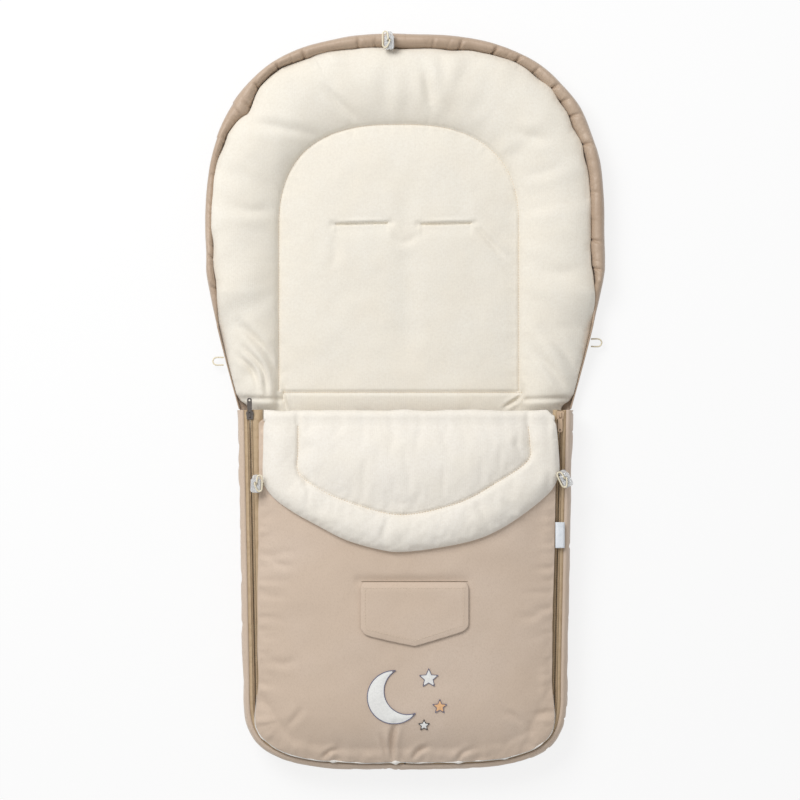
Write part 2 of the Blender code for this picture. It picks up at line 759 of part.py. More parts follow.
def held_cord(sign):
    """One half of the drawcord, inside the rim from its full width's start to its eyelet at the top."""
    dense = bay([NECK_Y + RIM_FULL_RISE, ARCH_Y], half_width, hood_arch(HOOD_WIDTH, HOOD_ARCH_LENGTH, 120))
    core = moved(dense, outward(dense, False), [-RIM_WIDTH / 2] * len(dense))
    eyelet_x = -EYELET_OFFSET + sign * CORD_SPREAD / 2
    eyelet_y = HALF_LENGTH - EYELET_INSET
    kept = [point for point in core if (point.x - eyelet_x) * sign > DRAWCORD_BEND]
    if sign < 0:
        kept.reverse()
    run = [Vector((*point, DRAWCORD_HEIGHT)) for point in resampled(kept, 22)]
    surface = rim_surface(EYELET_INSET)
    corner = Vector((eyelet_x, eyelet_y, DRAWCORD_HEIGHT))
    way_in = (corner - run[-1]).normalized() * DRAWCORD_BEND / 2
    bend = [run[-1], corner - way_in, corner + Vector((0, 0, DRAWCORD_BEND / 2))]
    middle = Vector((eyelet_x, eyelet_y, (DRAWCORD_HEIGHT + surface) / 2))
    return run[:-1] + smooth_route([*bend, middle, Vector((eyelet_x, eyelet_y, surface))], 2)


def build_rim(finishes, axis):
    """The gathered casing round the hood, bored for the two halves of the drawcord, and those in it."""
    start = CREASE_Y + GAP / 2
    dense = bay(spread(start, ARCH_Y, 24), half_width, hood_arch(HOOD_WIDTH, HOOD_ARCH_LENGTH, 160))
    path = resampled(dense, PUCKER_COUNT * PUCKER_STEPS)
    path[0].y = path[-1].y = start
    ways = outward(path, False)
    ways[0] = Vector((1.0, 0.0))
    ways[-1] = Vector((-1.0, 0.0))

    def section(i):
        y = path[i].y
        growth = rim_growth(y)
        phase = 2 * math.pi * (i % PUCKER_STEPS) / PUCKER_STEPS
        pinch = PUCKER_DEPTH * growth * (1 + math.cos(phase)) / 2
        lean = PUCKER_LEAN * growth * math.sin(phase)
        width = rim_width(y) - pinch
        height = rim_height(y) - PAD_BOTTOM - pinch
        points = []
        for out, up in RIM_SECTION_SHARES:
            points.append((out * width - pinch / 2 * (up > 0) + lean * up, PAD_BOTTOM + up * height))
        return points

    rim = sweep("hood_rim_casing", path, ways, section, finishes["cloth"], axis)
    for side_name, sign in (("left", -1.0), ("right", 1.0)):
        route = held_cord(sign)
        cord_object("hood_drawcord_" + side_name, route, CORD_DIAMETER, finishes["cord"], axis)
        start = route[0] + (route[0] - route[1]).normalized() * CORD_DIAMETER
        end = route[-1] + Vector((0, 0, CUTTER_OVERRUN))
        bm = loft(bmesh.new(), tube_mesh([start, *route[1:-1], end], CORD_BORE_DIAMETER / 2))
        cut(rim, as_cutter(add_mesh("drawcord_bore_cutter_" + side_name, bm, finishes["cloth"], axis)))


def build_leg(finishes):
    """The leg mat: shell, wadding and fleece under the bag."""
    top = CREASE_Y - GAP / 2
    ys = [top, NECK_Y + MOUTH_STEP_LENGTH, NECK_Y + GAP]
    ys += spread(CREASE_Y - CREASE_RAMP_LENGTH, FOOT_Y, 4)
    outer = bay(ys, half_width, foot_arch(FOOT_WIDTH, FOOT_ARCH_LENGTH, 14))
    ways = outward(outer, True)
    inner_inset = GUSSET_BULGE + GUSSET_THICKNESS + GAP
    insets = [-SHELL_MARGIN if p.y > NECK_Y + MOUTH_STEP_LENGTH / 2 else -inner_inset for p in outer]
    outline = moved(outer, ways, insets)
    outline[0].y = outline[-1].y = top
    outline[1].y = outline[-2].y = ys[1]
    outline[2].y = outline[-3].y = ys[2]
    seam = bay(ys, lambda y: BACK_SEAM_WIDTH / 2, foot_arch(BACK_SEAM_WIDTH, LEG_SEAM_ARCH_LENGTH, 14))
    side = len(ys) - 1
    spine = [Vector((0, y)) for y in ys[:-1]]
    spine = spine + [Vector((0, FOOT_Y))] * (len(outer) - 2 * side) + spine[::-1]
    rings = quilt_rings(outline, seam, spine, 2, 3)

    def lining_low(ring, x, y):
        return leg_top(ring, x, y) - LINING_THICKNESS

    def wadding_top(ring, x, y):
        return lining_low(ring, x, y) - GAP

    margin = moved(outer, ways, [-SHELL_MARGIN] * len(outer))
    margin[0].y = margin[-1].y = top
    sheet = [(0.0, spine), (1.0, margin)]
    quilt("leg_shell", sheet, lambda *_: 0.0, lambda *_: SHELL_THICKNESS, finishes["cloth"])
    quilt("leg_wadding", rings, lambda *_: PAD_BOTTOM, wadding_top, finishes["fibre"])
    quilt("leg_lining", rings, lining_low, leg_top, finishes["fleece"])


def build_gusset(finishes):
    """The padded side wall from the leg mat's margin up to the zips, round the foot."""
    path = bag_path(NECK_Y)
    ways = outward(path, True)
    lip = GUSSET_TOP_DEPTH / 2
    wall = GUSSET_THICKNESS
    outer_face = [(-GUSSET_BULGE * inward, ZIP_HEIGHT * up) for inward, up in GUSSET_OUTER_SHARES]
    inner_face = [(-GUSSET_BULGE * inward - wall, ZIP_HEIGHT * up) for inward, up in GUSSET_INNER_SHARES]
    outer_face = [(-GUSSET_TOP_INSET, ZIP_HEIGHT + lip), *outer_face, (-GUSSET_BULGE, PAD_BOTTOM)]
    inner_face = [(-GUSSET_BULGE - wall, PAD_BOTTOM), *inner_face, (-GUSSET_TOP_INSET, ZIP_HEIGHT - lip)]
    sweep("gusset", path, ways, lambda i: outer_face + inner_face, finishes["cloth"])


def build_zips(finishes):
    """Two zips from the mouth to the middle of the foot, each as an inner and an outer stringer."""
    path = bag_path(NECK_Y)
    ways = outward(path, True)
    middle = len(path) // 2
    tape = TAPE_THICKNESS / 2
    coil = CHAIN_HEIGHT / 2
    near = CHAIN_SLIT / 2
    far = near + CHAIN_WIDTH
    shape = [
        (near, -coil),
        (far, -coil),
        (far, -tape),
        (TAPE_WIDTH, -tape),
        (TAPE_WIDTH, tape),
        (far, tape),
        (far, coil),
        (near, coil),
    ]
    right_side = range(0, middle + 1)
    left_side = range(len(path) - 1, middle - 1, -1)
    for side_name, stations in (("right", right_side), ("left", left_side)):
        points = [path[i].copy() for i in stations]
        turned = [ways[i] for i in stations]
        gap_side = GAP if side_name == "right" else -GAP
        points[-1].x = gap_side
        for part, sign in (("outer", 1.0), ("inner", -1.0)):
            section = [(-ZIP_INSET + sign * out, ZIP_HEIGHT + up) for out, up in shape]
            sweep(f"zip_{side_name}_{part}", points, turned, lambda i, s=section: s, finishes["tape"])


def slider_frame(sign):
    """Frame of a slider on its chain: local Y runs up the chain, towards the mouth."""
    top = half_width(NECK_Y) - ZIP_INSET
    low = half_width(FOOT_Y) - ZIP_INSET
    lean = math.atan2(top - low, BAG_SIDE_LENGTH)
    x = top + (low - top) * (NECK_Y - SLIDER_Y) / BAG_SIDE_LENGTH
    turn = Matrix.Rotation(-sign * lean, 4, "Z")
    return Matrix.Translation((sign * x, SLIDER_Y, ZIP_HEIGHT)) @ turn


def slider_plate(bm, low, high):
    """One plate of a slider: wide at the head with a notch between its shoulders, narrower at the tail."""
    half = SLIDER_LENGTH / 2
    outline = [(0.0, half * SLIDER_NOTCH_SHARE)]
    outline += [(-SLIDER_HEAD_WIDTH / 2 * across, half * along) for across, along in SLIDER_HEAD_SHARES]
    outline += [(-SLIDER_TAIL_WIDTH / 2 * across, half * along) for across, along in SLIDER_TAIL_SHARES]
    outline += [(-x, y) for x, y in reversed(outline[1:])]
    loft(bm, [[(x, y, low) for x, y in outline], [(x, y, high) for x, y in outline]])


def build_slider(side_name, sign, finish):
    """A slider: two plates with turned-in flanges round the chain, a divider, and a crown for the tab."""
    name = "zip_slider_" + side_name
    frame = slider_frame(sign)
    room = SLIDER_CHANNEL_HEIGHT / 2
    slot = SLIDER_SLOT_HEIGHT / 2
    half = SLIDER_LENGTH / 2
    tail = SLIDER_TAIL_WIDTH / 2
    bm = bmesh.new()
    slider_plate(bm, room, SLIDER_TOP)
    body = add_mesh(name, bm, finish, None, frame)

    def join(part_name, shape):
        made = as_cutter(add_mesh(f"{name}_{part_name}", shape, finish, None, frame))
        modifier = body.modifiers.new(part_name, "BOOLEAN")
        modifier.operation = "UNION"
        modifier.object = made

    lower = bmesh.new()
    slider_plate(lower, -SLIDER_TOP, -room)
    divider = bmesh.new()
    web = SLIDER_DIVIDER / 2
    reach = SLIDER_TOP - SLIDER_PLATE / 2
    divider_end = half * SLIDER_DIVIDER_SHARE
    box(divider, (-web, divider_end - SLIDER_DIVIDER_LENGTH, -reach), (web, divider_end, reach))
    join("divider", divider)
    join("lower_plate", lower)
    for flange_name, flange_sign in (("left", -1.0), ("right", 1.0)):
        for level_name, level in (("top", 1.0), ("bottom", -1.0)):
            flange = bmesh.new()
            xs = sorted((flange_sign * (tail - SLIDER_FLANGE), flange_sign * (tail - GAP / 2)))
            zs = sorted((level * slot, level * reach))
            ys = [half * share for share in SLIDER_FLANGE_SHARES]
            box(flange, (xs[0], ys[0], zs[0]), (xs[1], ys[1], zs[1]))
            join(f"{flange_name}_{level_name}_flange", flange)

    crown = bmesh.new()
    post = CROWN_LENGTH / 2
    under = SLIDER_TOP + CROWN_HEIGHT - CROWN_WALL
    low = SLIDER_TOP - SLIDER_PLATE / 2
    inside = post - CROWN_WALL * CROWN_POST_SHARE
    profile = [
        (-post, low),
        (-post, under - CROWN_WALL),
        (-post * CROWN_TOP_SHARE, SLIDER_TOP + CROWN_HEIGHT),
        (post * CROWN_TOP_SHARE, SLIDER_TOP + CROWN_HEIGHT),
        (post, under - CROWN_WALL),
        (post, low),
        (inside, low),
        (inside, under),
        (-inside, under),
        (-inside, low),
    ]
    wide = CROWN_WIDTH / 2
    loft(crown, [[(-wide, y, z) for y, z in profile], [(wide, y, z) for y, z in profile]])
    join("crown", crown)
    build_tab(side_name, frame, finish)


def build_tab(side_name, frame, finish):
    """The pull tab: a pin under the crown, two arms round it, and a tapered blade with an eye."""
    pin = TAB_PIN_DIAMETER / 2
    lift = SLIDER_TOP + TAB_THICKNESS / 2 + GAP
    pin_place = Vector((0.0, 0.0, lift))
    turned_up = side_name == "left"
    angle = math.radians(180.0 - TURNED_TAB_LIFT_DEGREES) if turned_up else 0.0
    hinge = frame @ Matrix.Translation(pin_place) @ Matrix.Rotation(-angle, 4, "X")
    half = TAB_THICKNESS / 2
    neck = TAB_NECK_WIDTH / 2
    wide = TAB_WIDTH / 2
    outline = [
        (-neck, pin),
        (-neck, -TAB_WINDOW_LENGTH),
        (-wide, -TAB_LENGTH * TAB_SHOULDER_SHARE),
        (-wide, -TAB_LENGTH + TAB_WIDTH * TAB_CORNER_SHARE),
        (-wide * TAB_TIP_SHARE, -TAB_LENGTH),
    ]
    outline += [(-x, y) for x, y in reversed(outline)]
    bm = loft(bmesh.new(), [[(x, y, -half) for x, y in outline], [(x, y, half) for x, y in outline]])
    tab = add_mesh("zip_pull_" + side_name, bm, finish, None, hinge)
    arch_room = CROWN_WIDTH / 2 + CROWN_CLEARANCE
    window = bmesh.new()
    box(window, (-arch_room, -TAB_WINDOW_LENGTH, -SLIDER_LENGTH), (arch_room, -pin, SLIDER_LENGTH))
    cut(tab, as_cutter(add_mesh("tab_window_cutter_" + side_name, window, finish, None, hinge)))
    eye = bmesh.new()
    eye_y = -TAB_LENGTH + TAB_END_MARGIN
    round_rod(eye, TAB_HOLE_DIAMETER / 2, (0.0, eye_y, -SLIDER_LENGTH), (0.0, eye_y, SLIDER_LENGTH))
    cut(tab, as_cutter(add_mesh("tab_eye_cutter_" + side_name, eye, finish, None, hinge)))


def build_front(finishes):
    """The front of the bag below its fold."""
    ramp_end = FOLD_Y - MOUTH_RAMP_LENGTH
    ys = spread(FOLD_Y - GAP / 2, ramp_end, 4)[:-1] + spread(ramp_end, FOOT_Y, 3)
    outer = bay(ys, half_width, foot_arch(FOOT_WIDTH, FOOT_ARCH_LENGTH, 14))
    outline = bag_curve(outer, FRONT_INSET)
    outline[0].y = outline[-1].y = ys[0]
    seam = []
    for point in outline:
        past = min(point.y - FOOT_Y, 0.0)
        seam.append(Vector((point.x * FRONT_SEAM_SHARE, point.y - past * (1.0 - FRONT_SEAM_SHARE))))
    side = len(ys) - 1
    spine = [Vector((0, y)) for y in ys[:-1]]
    spine = spine + [Vector((0, FOOT_Y))] * (len(outer) - 2 * side) + spine[::-1]
    for point, middle in zip(seam, spine):
        if middle.y > FOOT_Y:
            point.y = middle.y
    rings = quilt_rings(outline, seam, spine, 4, 3)
    low_skin = ("lining", LINING_THICKNESS, finishes["fleece"])
    high_skin = ("shell", SHELL_THICKNESS, finishes["cloth"])
    three_layers(
        "front",
        rings,
        lambda ring, x, y: front_low(x, y),
        lambda ring, x, y: front_top(x, y),
        None,
        (low_skin, high_skin, finishes["fibre"]),
    )
    return rings


def build_flap(finishes, axis):
    """The top of the front, turned down with its fleece outwards."""
    top = FOLD_Y - GAP / 2
    side_y = FOLD_Y - FLAP_SIDE_LENGTH
    seam_y = FOLD_Y - FLAP_SEAM_SIDE_LENGTH
    outline_ys = [top + (side_y - top) * share for share in FLAP_STATION_SHARES]
    seam_ys = [top + (seam_y - top) * share for share in FLAP_STATION_SHARES]
    end = bow(side_y, FLAP_WIDTH, -FLAP_END_LENGTH, 18)
    seam_end = bow(seam_y, FLAP_SEAM_WIDTH, -FLAP_SEAM_END_LENGTH, 18)
    outline = bay(outline_ys, lambda y: FLAP_WIDTH / 2, end)
    seam = bay(seam_ys, lambda y: FLAP_SEAM_WIDTH / 2, seam_end)
    side = len(FLAP_STATION_SHARES) - 1
    spine = [Vector((0, y)) for y in seam_ys[:-1]]
    spine = spine + [Vector((0, seam_y))] * (len(outline) - 2 * side) + spine[::-1]
    outline = [point + Vector((FLAP_SHIFT, 0)) for point in outline]
    seam = [point + Vector((FLAP_SEAM_SHIFT, 0)) for point in seam]
    spine = [point + Vector((FLAP_SEAM_SHIFT, 0)) for point in spine]
    rings = quilt_rings(outline, seam, spine, 4, 4)
    low_skin = ("shell", SHELL_THICKNESS, finishes["cloth"])
    high_skin = ("lining", LINING_THICKNESS, finishes["fleece"])
    three_layers(
        "flap",
        rings,
        lambda ring, x, y: flap_low(x, y),
        lambda ring, x, y: flap_low(x, y) + flap_thickness(ring, y),
        axis,
        (low_skin, high_skin, finishes["fibre"]),
    )


def block(bm, low, high, rounding, back_end):
    """A block whose two upright edges at one end, along X, are rounded."""
    corners = box(bm, low, high)
    end_x = low[0] if back_end else high[0]
    edges = []
    for edge in bm.edges:
        a, b = (vert.co for vert in edge.verts)
        if edge.verts[0] in corners and abs(a.x - end_x) + abs(b.x - end_x) + abs(a.y - b.y) < GAP:
            edges.append(edge)
    bmesh.ops.bevel(
        bm, geom=edges, offset=rounding, offset_type="OFFSET", segments=4, profile=0.5, affect="EDGES"
    )


def softened(made, width):
    """Small roundings on all of a moulded piece's edges."""
    rounding = made.modifiers.new("rounding", "BEVEL")
    rounding.width = width
    rounding.segments = 2
    rounding.limit_method = "ANGLE"
    rounding.angle_limit = math.radians(60)


def build_lock(prefix, frame, finishes, parent):
    """A cord lock. Its X runs out along the plunger and its Z up along the cord, which passes the origin."""
    shift = PLUNGER_OFFSET / 2
    back = -shift - LOCK_HOLE_DEPTH
    half_w = LOCK_WIDTH / 2
    half_h = LOCK_HEIGHT / 2
    reach = half_h + CUTTER_OVERRUN
    bm = bmesh.new()
    block(bm, (back, -half_w, -half_h), (back + LOCK_DEPTH, half_w, half_h), LOCK_ROUNDING, True)
    body = add_mesh(prefix + "_lock_body", bm, finishes["clear"], parent, frame)
    softened(body, LOCK_EDGE_ROUNDING)
    side = half_w - LOCK_WALL
    rise = half_h - LOCK_WALL
    cavity = bmesh.new()
    block(
        cavity,
        (back + LOCK_FLOOR, -side, -rise),
        (back + LOCK_DEPTH + CUTTER_OVERRUN, side, rise),
        LOCK_ROUNDING - LOCK_WALL,
        True,
    )
    cut(body, as_cutter(add_mesh(prefix + "_cavity_cutter", cavity, finishes["clear"], parent, frame)))
    hole = bmesh.new()
    round_rod(hole, LOCK_HOLE_DIAMETER / 2, (-shift, 0.0, -reach), (-shift, 0.0, reach))
    cut(body, as_cutter(add_mesh(prefix + "_hole_cutter", hole, finishes["clear"], parent, frame)))

    heel = shift - LOCK_HOLE_DIAMETER / 2 - PLUNGER_HEEL
    tip = back + LOCK_DEPTH + PLUNGER_REACH
    side -= LOCK_PLAY
    rise -= LOCK_PLAY
    bm = bmesh.new()
    block(bm, (heel, -side, -rise), (tip, side, rise), LOCK_ROUNDING, False)
    plunger = add_mesh(prefix + "_lock_plunger", bm, finishes["clear"], parent, frame)
    softened(plunger, LOCK_EDGE_ROUNDING / 2)
    hole = bmesh.new()
    round_rod(hole, LOCK_HOLE_DIAMETER / 2, (shift, 0.0, -reach), (shift, 0.0, reach))
    cut(plunger, as_cutter(add_mesh(prefix + "_plunger_hole_cutter", hole, finishes["clear"], parent, frame)))

    seat = bmesh.new()
    seat_radius = SPRING_DIAMETER / 2 + LOCK_PLAY
    round_rod(seat, seat_radius, (heel - CUTTER_OVERRUN, 0.0, 0.0), (heel + SPRING_SEAT_DEPTH, 0.0, 0.0))
    cut(plunger, as_cutter(add_mesh(prefix + "_spring_seat_cutter", seat, finishes["clear"], parent, frame)))

    first = back + LOCK_FLOOR + GAP + SPRING_WIRE / 2
    last = heel + SPRING_SEAT_DEPTH - PLUNGER_OFFSET - GAP - SPRING_WIRE / 2
    steps = int(SPRING_CURLS * 9)
    points = []
    for i in range(steps + 1):
        angle = 2 * math.pi * SPRING_CURLS * i / steps
        radius = (SPRING_DIAMETER - SPRING_WIRE) / 2
        x = first + (last - first) * i / steps
        points.append(frame @ Vector((x, radius * math.cos(angle), radius * math.sin(angle))))
    cord_object(prefix + "_lock_spring", points, SPRING_WIRE, finishes["steel"], parent, resolution=1)
    print(f"{prefix} lock spring: least gap to itself {least_self_gap(points, SPRING_WIRE, 6) * 1000:.2f} mm")


def placed(points, place, degrees, side):
    """Cord points turned about a lock's hole and set there; side is -1 for a mirrored loop."""
    turn = Matrix.Rotation(math.radians(degrees), 3, "Z")
    return [place + turn @ Vector((x, side * y, z)) for x, y, z in points]


def build_hood_lock(finishes, axis):
    """The lock and the free loop of the drawcord, at the top of the rim."""
    place = Vector((-EYELET_OFFSET, HALF_LENGTH - EYELET_INSET, RIM_HEIGHT + PATCH_GAP + LOCK_HEIGHT / 2))
    build_lock("hood", Matrix.Translation(place) @ Matrix.Rotation(math.pi / 2, 4, "Z"), finishes, axis)
    points = placed(LOOP_RISING + LOOP_FALLING, place, 90.0, 1.0)
    exit_height = rim_surface(EYELET_INSET) + GAP
    points.insert(0, Vector((points[0].x, points[0].y, exit_height)))
    points.append(Vector((points[-1].x, points[-1].y, exit_height)))
    cord_object("hood_cord_loop", points, CORD_DIAMETER, finishes["cord"], axis)


def build_flap_locks(finishes, axis):
    """An elastic loop with a cord lock at each corner of the flap."""
    left_lean, right_lean = FLAP_LOCK_LEAN_DEGREES
    left_rise, right_rise = FLAP_LOCK_RISES
    sides = (("left", -1.0, -left_lean, left_rise), ("right", 1.0, right_lean, right_rise))
    for side_name, sign, lean, rise in sides:
        edge_x = FLAP_SHIFT + sign * FLAP_WIDTH / 2
        y = FOLD_Y - FLAP_SIDE_LENGTH + rise
        height = flap_low(edge_x, y) + FLAP_EDGE_THICKNESS / 2 + FLAP_LOCK_LIFT
        place = Vector((edge_x + sign * (GAP + FLAP_LOCK_REACH), y, height))
        print(f"{side_name} flap lock at {place.x:.5f} {place.y:.5f} {place.z:.5f}")
        turn = Matrix.Rotation(math.radians(90.0 + lean), 4, "Z")
        build_lock("flap_" + side_name, Matrix.Translation(place) @ turn, finishes, axis)
        points = placed(FLAP_LOOP_IN, place, 90.0, sign)
        points += placed(LOOP_RISING + LOOP_FALLING, place, 90.0 + lean, sign)
        points += placed(FLAP_LOOP_OUT, place, 90.0, sign)
        cord_object("flap_loop_" + side_name, points, CORD_DIAMETER, finishes["cord"], axis)


def build_side_loops(finishes, axis):
    """The bare elastic loops at the hood's sides."""
    for side_name, sign, rise in (("left", -1.0, SIDE_LOOP_RISES[0]), ("right", 1.0, SIDE_LOOP_RISES[1])):
        y = CREASE_Y + rise
        root_x = half_width(y + SIDE_LOOP_SPAN / 2) + RIM_CLEARANCE
        points = [Vector((sign * (root_x + out), y + along, SIDE_LOOP_HEIGHT)) for out, along in SIDE_LOOP]
        cord_object("side_loop_" + side_name, points, CORD_DIAMETER, finishes["cord"], axis)


def over_front(name, rings, lift, thickness, finish, parent=None):
    """A layer lift above the whole front, which small sewn-on pieces are cut from."""

    def low(ring, x, y):
        return front_top(x, y) + lift

    def high(ring, x, y):
        return front_top(x, y) + lift + thickness

    return as_cutter(quilt(name, rings, low, high, finish, parent))


def patch(name, outline, layer, finish, parent=None):
    """A piece of cloth of the given outline, cut from a layer over the front."""
    top = 2 * (ZIP_HEIGHT + FRONT_CROWN)
    bm = loft(bmesh.new(), [[(x, y, 0.0) for x, y in outline], [(x, y, top) for x, y in outline]])
    made = add_mesh(name, bm, finish, parent)
    modifier = made.modifiers.new("follow_front", "BOOLEAN")
    modifier.operation = "INTERSECT"
    modifier.object = layer
    modifier.use_self = True
    return made


def build_pocket(finishes, rings):
    """The pocket's sewn mouth and the pointed flap that covers it."""
    half = POCKET_WIDTH / 2
    hinge_y = NECK_Y - BAG_SIDE_LENGTH * POCKET_PLACE_SHARE
    lift = PATCH_GAP * 2 + WELT_THICKNESS
    axis = joint_axis("pocket_flap_axis", (POCKET_OFFSET, hinge_y, front_top(POCKET_OFFSET, hinge_y) + lift))
    layer = over_front("pocket_flap_layer", rings, lift, POCKET_THICKNESS, finishes["cloth"], axis)
    corner = POCKET_CORNER
    outline = [
        (POCKET_OFFSET - half, hinge_y),
        (POCKET_OFFSET - half, hinge_y - POCKET_SIDE_LENGTH + corner),
        (POCKET_OFFSET - half + corner, hinge_y - POCKET_SIDE_LENGTH),
        (POCKET_OFFSET, hinge_y - POCKET_POINT_LENGTH),
        (POCKET_OFFSET + half - corner, hinge_y - POCKET_SIDE_LENGTH),
        (POCKET_OFFSET + half, hinge_y - POCKET_SIDE_LENGTH + corner),
        (POCKET_OFFSET + half, hinge_y),
    ]
    patch("pocket_flap", outline, layer, finishes["cloth"], axis)
    layer = over_front("welt_layer", rings, PATCH_GAP, WELT_THICKNESS, finishes["cloth"])
    half = WELT_LENGTH / 2
    top = hinge_y - WELT_WIDTH / 2
    outline = [
        (POCKET_OFFSET - half, top),
        (POCKET_OFFSET - half, top - WELT_WIDTH),
        (POCKET_OFFSET + half, top - WELT_WIDTH),
        (POCKET_OFFSET + half, top),
    ]
    patch("pocket_welt", outline, layer, finishes["cloth"])


def foot_place(shares):
    """A place on the foot, given by its shares of the foot's width and of its arch."""
    across, along = shares
    return (FOOT_WIDTH * across, FOOT_Y + FOOT_ARCH_LENGTH * along)


def moon_outline():
    """A crescent: a disc with a smaller disc bitten out of it towards MOON_FACING_DEGREES."""
    x, y = foot_place(MOON_PLACE_SHARES)
    facing = math.radians(MOON_FACING_DEGREES)
    bite_x = x + MOON_BITE_SHIFT * math.cos(facing)
    bite_y = y + MOON_BITE_SHIFT * math.sin(facing)
    cosine = (MOON_RADIUS**2 + MOON_BITE_SHIFT**2 - MOON_BITE_RADIUS**2) / (2 * MOON_RADIUS * MOON_BITE_SHIFT)
    horn = math.acos(cosine)
    reach = MOON_RADIUS * math.cos(horn) - MOON_BITE_SHIFT
    inner_horn = math.atan2(MOON_RADIUS * math.sin(horn), reach)
    outline = []
    for i in range(17):
        angle = facing + horn + 2 * (math.pi - horn) * i / 16
        outline.append((x + MOON_RADIUS * math.cos(angle), y + MOON_RADIUS * math.sin(angle)))
    for i in range(1, 12):
        angle = facing - inner_horn - 2 * (math.pi - inner_horn) * i / 12
        across = MOON_BITE_RADIUS * math.cos(angle)
        along = MOON_BITE_RADIUS * math.sin(angle)
        outline.append((bite_x + across, bite_y + along))
    return outline


def star_outline(x, y, radius):
    """A five-pointed star."""
    points = []
    for k in range(10):
        reach = radius if k % 2 == 0 else radius * STAR_INNER_SHARE
        angle = math.pi / 2 + math.pi * k / 5
        points.append((x + reach * math.cos(angle), y + reach * math.sin(angle)))
    return points


def build_trim(finishes, rings):
    """Felt moon and stars, the blank side tag, and the piping round the foot."""
    layer = over_front("felt_layer", rings, PATCH_GAP, FELT_THICKNESS, finishes["felt"])
    patch("felt_moon", moon_outline(), layer, finishes["felt"])
    for i, (shares, radius) in enumerate(zip(STAR_PLACE_SHARES, STAR_RADII), start=1):
        patch(f"felt_star_{i}", star_outline(*foot_place(shares), radius), layer, finishes["felt"])

    top = NECK_Y - BAG_SIDE_LENGTH * TAG_PLACE_SHARE
    edge = half_width(top) - FRONT_INSET
    root_x = edge - TAG_WIDTH * TAG_ROOT_SHARE
    over_z = ZIP_HEIGHT + SLIDER_TOP + CROWN_HEIGHT + PATCH_GAP
    root_z = front_top(root_x, top) + PATCH_GAP
    profile = [(root_x, root_z), (edge, over_z), (root_x + TAG_WIDTH, over_z)]
    profile += [(x, z + TAG_THICKNESS) for x, z in reversed(profile)]
    ends = (top, top - TAG_LENGTH)
    add_mesh("side_tag", loft(bmesh.new(), [[(x, y, z) for x, z in profile] for y in ends]), finishes["tag"])

    path = bag_path(NECK_Y)
    ways = outward(path, True)
    keep = [i for i, p in enumerate(path) if p.y < FOOT_Y and abs(p.x) < FOOT_WIDTH / 2 * PIPING_REACH_SHARE]
    seam = moved([path[i] for i in keep], [ways[i] for i in keep], [-ZIP_INSET] * len(keep))
    height = ZIP_HEIGHT + CHAIN_HEIGHT / 2 + GAP + PIPING_DIAMETER / 2
    points = [Vector((p.x, p.y, height)) for p in seam]
    cord_object("foot_piping", points, PIPING_DIAMETER, finishes["cord"])


def build():
    """The whole footmuff."""
    for old in list(bpy.data.objects):
        bpy.data.objects.remove(old, do_unlink=True)
    finishes = {
        "cloth": material("beige_twill", (0.58, 0.47, 0.39), 0.85),
        "fleece": material("cream_fleece", (0.83, 0.78, 0.68), 0.95),
        "fibre": material("white_wadding", (0.88, 0.88, 0.86), 0.95),
        "tape": material("zip_tape", (0.42, 0.30, 0.18), 0.75),
        "pull": material("painted_zinc", (0.55, 0.42, 0.30), 0.45, 0.6),
        "nickel": material("dark_nickel", (0.20, 0.18, 0.17), 0.30, 1.0),
        "cord": material("cream_elastic", (0.85, 0.79, 0.64), 0.80),
        "clear": material("clear_plastic", (0.92, 0.93, 0.93), 0.10, 0.0, 0.45),
        "steel": material("spring_steel", (0.62, 0.62, 0.62), 0.30, 1.0),
        "felt": material("white_felt", (0.88, 0.87, 0.84), 0.90),
        "tag": material("white_woven_tag", (0.88, 0.90, 0.92), 0.70),
    }
    back_axis = joint_axis("back_bend_axis", (0.0, CREASE_Y, SEAM_HEIGHT))
    flap_axis = joint_axis("flap_fold_axis", (0.0, FOLD_Y, HINGE_HEIGHT))
    build_back(finishes, back_axis)
    build_rim(finishes, back_axis)
    build_hood_lock(finishes, back_axis)
    build_side_loops(finishes, back_axis)
    build_leg(finishes)
    build_gusset(finishes)
    build_zips(finishes)
    build_slider("left", -1.0, finishes["nickel"])
    build_slider("right", 1.0, finishes["pull"])
    front_rings = build_front(finishes)
    build_flap(finishes, flap_axis)
    build_flap_locks(finishes, flap_axis)
    build_pocket(finishes, front_rings)
    build_trim(finishes, front_rings)


build()
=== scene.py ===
"""Looks of the stroller footmuff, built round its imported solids.

Metres, +Z up, as in the part: +Y is the head end and +X the right side seen from above. Every soft solid
gets a finer piece in its place: fleece and twill that are filled out by a cloth simulation, then sewn down
along their seams, gathered, folded and stitched. Rigid solids keep their shape and get materials.
"""

import math

import bmesh
import bpy
import numpy as np
from mathutils import Matrix, Vector
from mathutils.bvhtree import BVHTree


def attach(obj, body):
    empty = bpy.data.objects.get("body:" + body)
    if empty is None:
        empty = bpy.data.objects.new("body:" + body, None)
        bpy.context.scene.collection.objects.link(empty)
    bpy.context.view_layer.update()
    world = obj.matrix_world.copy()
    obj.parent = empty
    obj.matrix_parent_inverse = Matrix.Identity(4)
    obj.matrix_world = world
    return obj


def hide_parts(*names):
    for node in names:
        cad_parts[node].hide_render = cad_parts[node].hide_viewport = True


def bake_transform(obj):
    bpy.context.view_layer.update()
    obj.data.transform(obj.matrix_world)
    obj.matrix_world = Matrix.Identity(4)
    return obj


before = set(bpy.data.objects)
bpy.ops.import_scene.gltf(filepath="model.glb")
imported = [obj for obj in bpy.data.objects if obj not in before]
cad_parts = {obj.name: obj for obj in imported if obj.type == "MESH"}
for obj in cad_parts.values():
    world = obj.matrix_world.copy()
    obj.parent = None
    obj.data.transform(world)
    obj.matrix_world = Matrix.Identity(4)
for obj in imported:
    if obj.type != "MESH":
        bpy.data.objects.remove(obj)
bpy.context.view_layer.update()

# Plan of the mat, the same as the part's
HOOD_ARCH_LENGTH = 0.254
